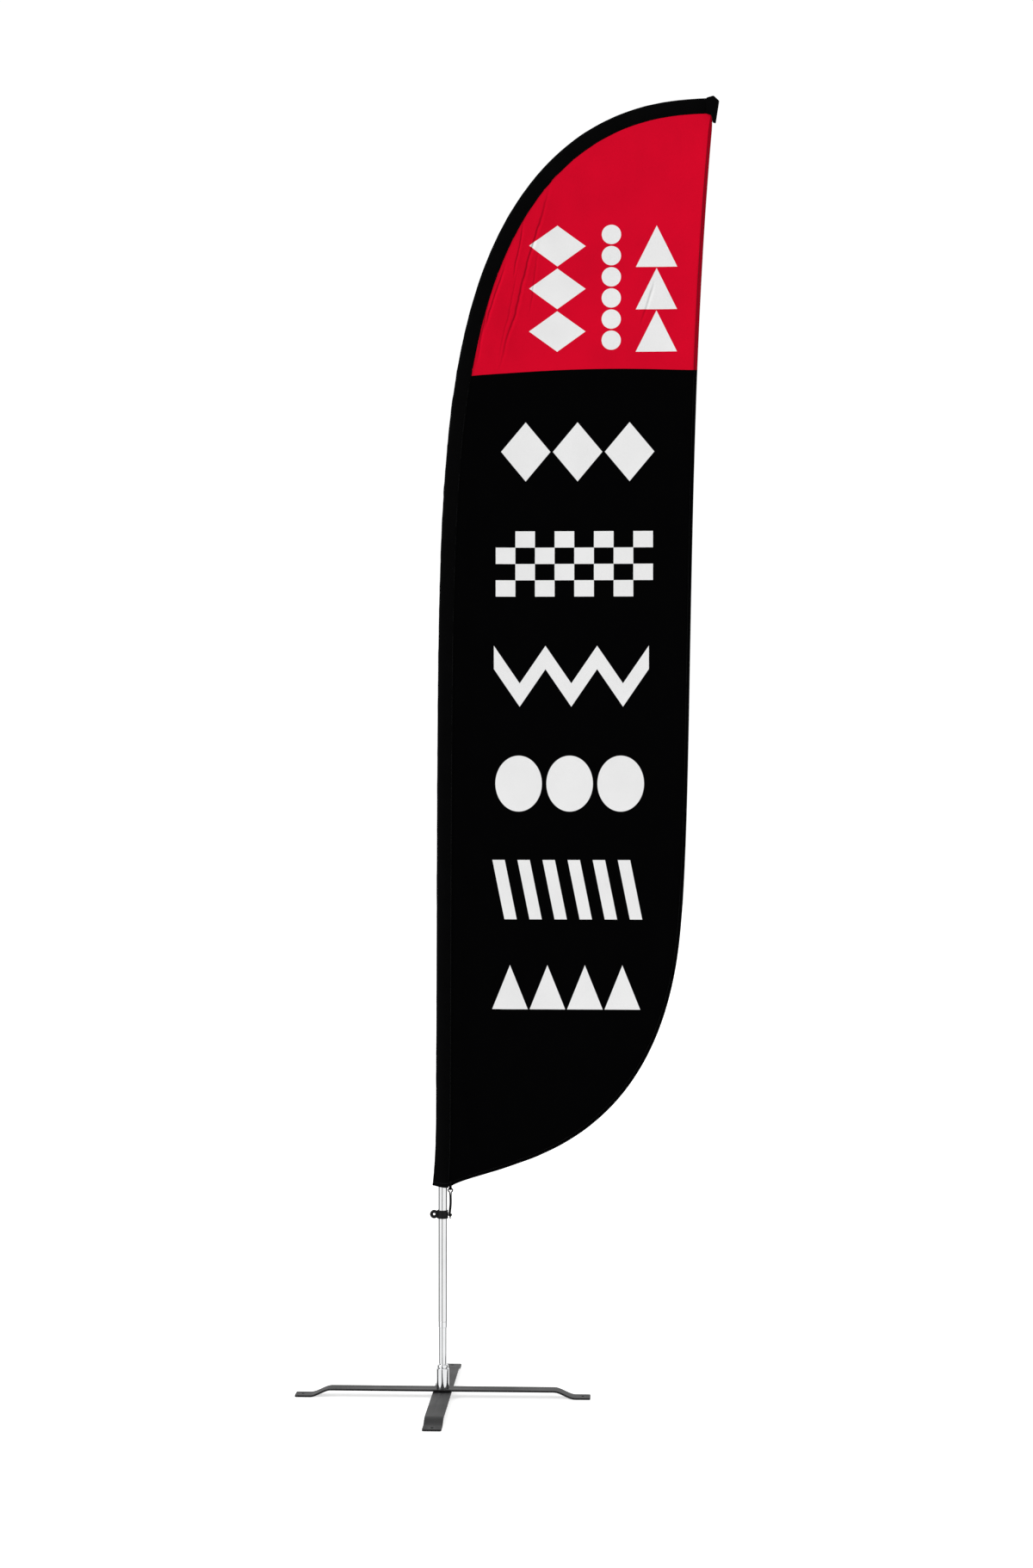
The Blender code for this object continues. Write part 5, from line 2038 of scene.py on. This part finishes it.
    def mouth_stitches(self) -> list[Matrix]:
        """Places of the stitches round the turned-up edge of the mouth.

        Returns:
            A matrix for each stitch.
        """
        places = []
        share, columns, by_seam = self.mouth_turn_up / CUT.length, 2 * self.half, 5
        for k in range(columns):
            one, two = self.place(k / columns, share), self.place((k + 1) / columns, share)
            away = Vector((0.0, -1.0 if k < self.half else 1.0, 0.0))
            away.x = 0.5 if k < by_seam or k >= columns - by_seam else (one.x + two.x) * 25
            side = (two - one).cross(Vector((0, 0, 1))).normalized()
            out = side if side.dot(away) > 0 else -side
            parts = max(1, round((two - one).length / STITCH_RUN))
            for part in range(parts):
                at = one.lerp(two, (part + 0.5) / parts)
                places.append(facing(at + out * STITCH_LIFT, two - one, out))
        return places


# ---- sewn details
def lay_cut(shape: bmesh.types.BMesh) -> None:
    """Lay the weave's cut on a small piece from the side that each face looks to.

    Args:
        shape: the piece's bmesh.
    """
    uv = shape.loops.layers.uv.get("cut") or shape.loops.layers.uv.new("cut")
    shape.normal_update()
    for face in shape.faces:
        looks = [abs(value) for value in face.normal]
        axes = [(1, 2), (0, 2), (0, 1)][looks.index(max(looks))]
        for loop in face.loops:
            loop[uv].uv = (loop.vert.co[axes[0]], loop.vert.co[axes[1]])


@dataclass
class TipPocket:
    """The thick sewn pocket that takes the pole's tip and hangs a little below the sleeve."""

    outline: tuple[Point, ...] = ((0.7475, 3.5019), (0.7382, 3.4422), (0.7296, 3.4452),
                                  (0.7262, 3.4640), (0.7120, 3.4688), (0.7120, 3.5106),
                                  (0.7319, 3.5165))
    thick: float = 0.0142
    rounding: float = 0.0030
    stitched_corners: int = 4
    stitch_run: float = 0.0031
    stitch_length: float = 0.0021
    stitch_inset: float = 0.0035
    longest_edge: float = 0.006

    def build(self) -> None:
        """Make the pocket and its stitches."""
        pocket = self.cushion("tip_pocket_cloth")
        dress(pocket, Slot.BLACK_CLOTH, Body.POLE, "tip_pocket")
        places = []
        outline = [Vector(point) for point in self.outline]
        middle = sum(outline, Vector((0.0, 0.0))) / len(outline)
        corners = outline[:self.stitched_corners]
        for one, two in zip(corners, corners[1:]):
            count = max(1, int((two - one).length / self.stitch_run))
            for number in range(count):
                at = one.lerp(two, (number + 0.5) / count)
                at += (middle - at).normalized() * self.stitch_inset
                for side in (-1.0, 1.0):
                    place = Vector((at.x, side * (self.thick / 2 - 0.0001), at.y))
                    way = Vector((two.x - one.x, 0.0, two.y - one.y))
                    places.append(facing(place, way, Vector((0, side, 0))))
        sew("tip_pocket_stitches", self.stitch_length, places)

    def cushion(self, name: str) -> Piece:
        """A block of layered cloth with soft edges and uneven faces.

        Args:
            name: the piece's name.

        Returns:
            The pocket.
        """
        shape = bmesh.new()
        face = shape.faces.new([shape.verts.new((x, -self.thick / 2, z))
                                for x, z in self.outline])
        moved = bmesh.ops.extrude_face_region(shape, geom=[face])["geom"]
        bmesh.ops.translate(shape, vec=(0, self.thick, 0), verts=[
            part for part in moved if isinstance(part, bmesh.types.BMVert)])
        bmesh.ops.recalc_face_normals(shape, faces=shape.faces)
        bmesh.ops.bevel(shape, geom=shape.edges[:], offset=self.rounding, segments=4,
                        profile=0.5, affect="EDGES", clamp_overlap=True)
        bmesh.ops.triangulate(shape, faces=shape.faces)
        long_edges = [edge for edge in shape.edges if edge.calc_length() > self.longest_edge]
        bmesh.ops.subdivide_edges(shape, edges=long_edges, cuts=4, use_grid_fill=True)
        for vert in shape.verts:
            vert.co.y *= 1.0 - 0.04 * max(0.0, noise.noise(vert.co * 130))
        lay_cut(shape)
        return finished(shape, name, 60)


@dataclass
class CornerStrap:
    """Webbing folded under the flag's lower corner, with the cord running inside the fold."""

    top: float = 0.585
    floor: float = 0.5605
    half: float = STRAP_HALF
    thick: float = 0.0009
    rounding: float = 0.0022
    flat: Point = (0.007, 0.055)
    bow: float = 0.0002
    ladders: int = 14
    stitch_length: float = 0.0017
    stitch_heights: tuple[float, ...] = (0.5700, 0.5722, 0.5806, 0.5826)
    stitch_steps: tuple[float, ...] = (0.0015, 0.0035, 0.0055)

    def build(self) -> None:
        """Make the webbing and the bar of stitches that closes it."""
        corners = ((-self.half, self.top), (-self.half, self.floor), (self.half, self.floor),
                   (self.half, self.top))
        path = [Vector(point) for point in rounded_path(corners, self.rounding, 8)]
        count = self.ladders
        fine = [path[0].lerp(path[1], k / count) for k in range(count)] + path[1:-1]
        fine += [path[-2].lerp(path[-1], k / count) for k in range(count + 1)]
        rows = len(fine) - 1

        def place(share: float, along: float) -> Vector:
            """A point of the webbing's middle surface.

            Args:
                share: share of the way across.
                along: share of the way along.

            Returns:
                The point.
            """
            y, z = fine[round(along * rows)]
            bow = self.bow * math.sin(share * math.pi)
            return Vector((STRAP_LEFT + (STRAP_RIGHT - STRAP_LEFT) * share,
                           y + math.copysign(bow, y), z))

        strap = mapped_grid("corner_strap_webbing", 8, rows, place,
                            lambda u, w: (u * self.flat[0], w * self.flat[1]), sharp=75)
        thicken(strap, self.thick)
        dress(strap, Slot.BLACK_CLOTH, Body.POLE, "corner_strap")
        out = self.half + self.thick / 2 + STITCH_LIFT
        places = [facing(Vector((STRAP_LEFT + step, side * out, z)), Vector((1, 0, 0)),
                         Vector((0, side, 0)))
                  for side in (-1.0, 1.0) for z in self.stitch_heights
                  for step in self.stitch_steps]
        sew("corner_strap_stitches", self.stitch_length, places)


# ---- cross base
@dataclass
class BaseLeg:
    """One flat steel bar of the cross, joggled down to a foot at each end."""

    name: str
    node: str
    body: Body
    rise: float
    turned: bool
    length: float = 0.800
    width: float = 0.050
    thick: float = 0.005
    corner: float = 0.006
    foot: float = 0.040
    joggle: float = 0.059
    peg_hole: float = 0.004
    peg_from_end: float = 0.020
    bolt_hole: float = 0.0053
    rounding: float = 0.0006
    joggle_cuts: int = 16

    def height(self, along: float) -> float:
        """Height of the bar's underside at a distance from its middle.

        Args:
            along: metres from the middle.

        Returns:
            Metres above the floor.
        """
        share = ramp(self.length / 2 - abs(along) - self.foot, self.joggle)
        return self.rise * share * share * (3 - 2 * share)

    def build(self) -> None:
        """Cut the bar, bend it and paint it."""
        bar = self.cut_bar()
        shape = bmesh.new()
        shape.from_mesh(bar.data)
        bpy.data.objects.remove(bar)
        slope = self.length / 2 - self.foot
        for side in (-1.0, 1.0):
            for count in range(self.joggle_cuts + 1):
                at = side * (slope + 0.0005 - (self.joggle + 0.001) * count / self.joggle_cuts)
                bmesh.ops.bisect_plane(shape, geom=[*shape.verts, *shape.edges, *shape.faces],
                                       plane_co=(at, 0, 0), plane_no=(1, 0, 0), dist=TINY)
        for vert in shape.verts:
            vert.co = self.bent(vert.co)
        if self.turned:
            bmesh.ops.rotate(shape, matrix=Matrix.Rotation(math.pi / 2, 3, "Z"),
                             verts=shape.verts)
        bmesh.ops.recalc_face_normals(shape, faces=shape.faces)
        dress(finished(shape, self.name, 32), Slot.POWDER_COAT, self.body, self.node)

    def cut_bar(self) -> Piece:
        """The flat bar with its round corners, holes and softened edges.

        Returns:
            The bar, still flat.
        """
        x, y = self.length / 2, self.width / 2
        corners = ((-x, -y), (x, -y), (x, y), (-x, y))
        holes = ((-x + self.peg_from_end, self.peg_hole), (x - self.peg_from_end, self.peg_hole),
                 (0.0, self.bolt_hole))
        return cut_plate("bar", rounded_path(corners, self.corner, 8, closed=True), holes,
                         self.thick, self.rounding)

    def bent(self, at: Vector) -> Vector:
        """Where a point of the flat bar goes when the bar is joggled.

        Args:
            at: a point of the flat bar.

        Returns:
            The same point of the joggled bar.
        """
        step = 0.0005
        slope = (self.height(at.x + step) - self.height(at.x - step)) / (2 * step)
        up = Vector((-slope, 0.0, 1.0)).normalized()
        return Vector((at.x, at.y, self.height(at.x))) + up * at.z


@dataclass
class TurnedParts:
    """The chrome housing with its bead, the turning shaft, its collar and the lower tube."""

    rounding: float = 0.0005
    tube_wall: float = 0.0015
    housing: tuple[Point, ...] = (
        (0.0160, 0.0780), (0.0175, 0.0765), (0.0175, 0.0240), (0.0053, 0.0240),
        (0.0053, 0.0380), (0.0105, 0.0380), (0.0105, 0.0470), (0.0143, 0.0470),
        (0.0143, 0.0780))
    shaft: tuple[Point, ...] = (
        (0.0, 0.3003), (0.0084, 0.3003), (0.0104, 0.2973), (0.0104, 0.1880),
        (0.01085, 0.1880), (0.01085, 0.0905), (0.0092, 0.0905), (0.0092, 0.0753),
        (0.0075, 0.0753), (0.0075, 0.0742), (0.0060, 0.0742), (0.0060, 0.0470),
        (0.0050, 0.0470), (0.0050, 0.0425), (0.0, 0.0425))
    collar: tuple[Point, ...] = (
        (0.0107, 0.1883), (0.0120, 0.1883), (0.0120, 0.2040), (0.0107, 0.2040))

    def turn(self, name: str, profile: Sequence[Point], slot: Slot, body: Body,
             closed: bool = True) -> None:
        """Turn one part from its profile, with its edges rounded."""
        points = rounded_path(profile, self.rounding, 4, closed)
        dress(spun(f"{name}_turned", points, 96, closed, sharp=30), slot, body, name)

    def build(self) -> None:
        """Make every turned part."""
        self.turn("spindle_housing", self.housing, Slot.CHROME, Body.BASE)
        self.turn("bearing_cap", self.cap_profile(), Slot.CHROME, Body.BASE)
        self.turn("spindle_shaft", self.shaft, Slot.CHROME, Body.SPINDLE, closed=False)
        self.turn("stop_collar", self.collar, Slot.CHROME, Body.SPINDLE)
        foot, top = TUBE_LOW.z, TUBE_HIGH.z
        outer, bore = TUBE_RADIUS, TUBE_RADIUS - self.tube_wall
        self.turn("lower_pole_tube", ((bore, foot), (outer, foot), (outer, top), (bore, top)),
                  Slot.ALUMINIUM, Body.POLE)

    @staticmethod
    def cap_profile() -> list[Point]:
        """The bearing cap: a plug in the housing and a round bead above it.

        Returns:
            Its radii and heights.
        """
        foot, top, groove, bead = 0.0783, 0.0875, 0.0135, 0.0020
        middle, half = (foot + top) / 2, (top - foot) / 2
        points = [(0.0098, foot - 0.0036), (0.0137, foot - 0.0036), (0.0137, foot)]
        for k in range(13):
            turn = -math.pi / 2 + math.pi * k / 12
            points.append((groove + bead * math.cos(turn), middle + half * math.sin(turn)))
        return [*points, (0.0098, top)]


# ---- everything
def paint_frame() -> None:
    """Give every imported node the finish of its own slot."""
    for part in frame["record"]["subparts"]:
        slot = Slot(part["material_slot"])
        for holder in frame["nodes"][part["node"]].material_slots:
            holder.link = "OBJECT"
            holder.material = PAINTS[slot]
        log.info("%s takes %s", part["node"], slot.value)


def main() -> None:
    """Build the studio and then every sub-assembly."""
    logging.basicConfig(level=logging.INFO, format="%(name)s: %(message)s")
    Studio().build()
    ElasticCord().build()
    TensionClip().build()
    FeatherSail().build()
    FlagSleeve().build()
    TipPocket().build()
    CornerStrap().build()
    BaseLeg("upper_leg_bar", "upper_leg", Body.BASE, 0.0187, False).build()
    BaseLeg("lower_leg_bar", "lower_leg", Body.LOWER_LEG, 0.0124, True).build()
    TurnedParts().build()
    paint_frame()


if __name__ == "__main__":
    main()
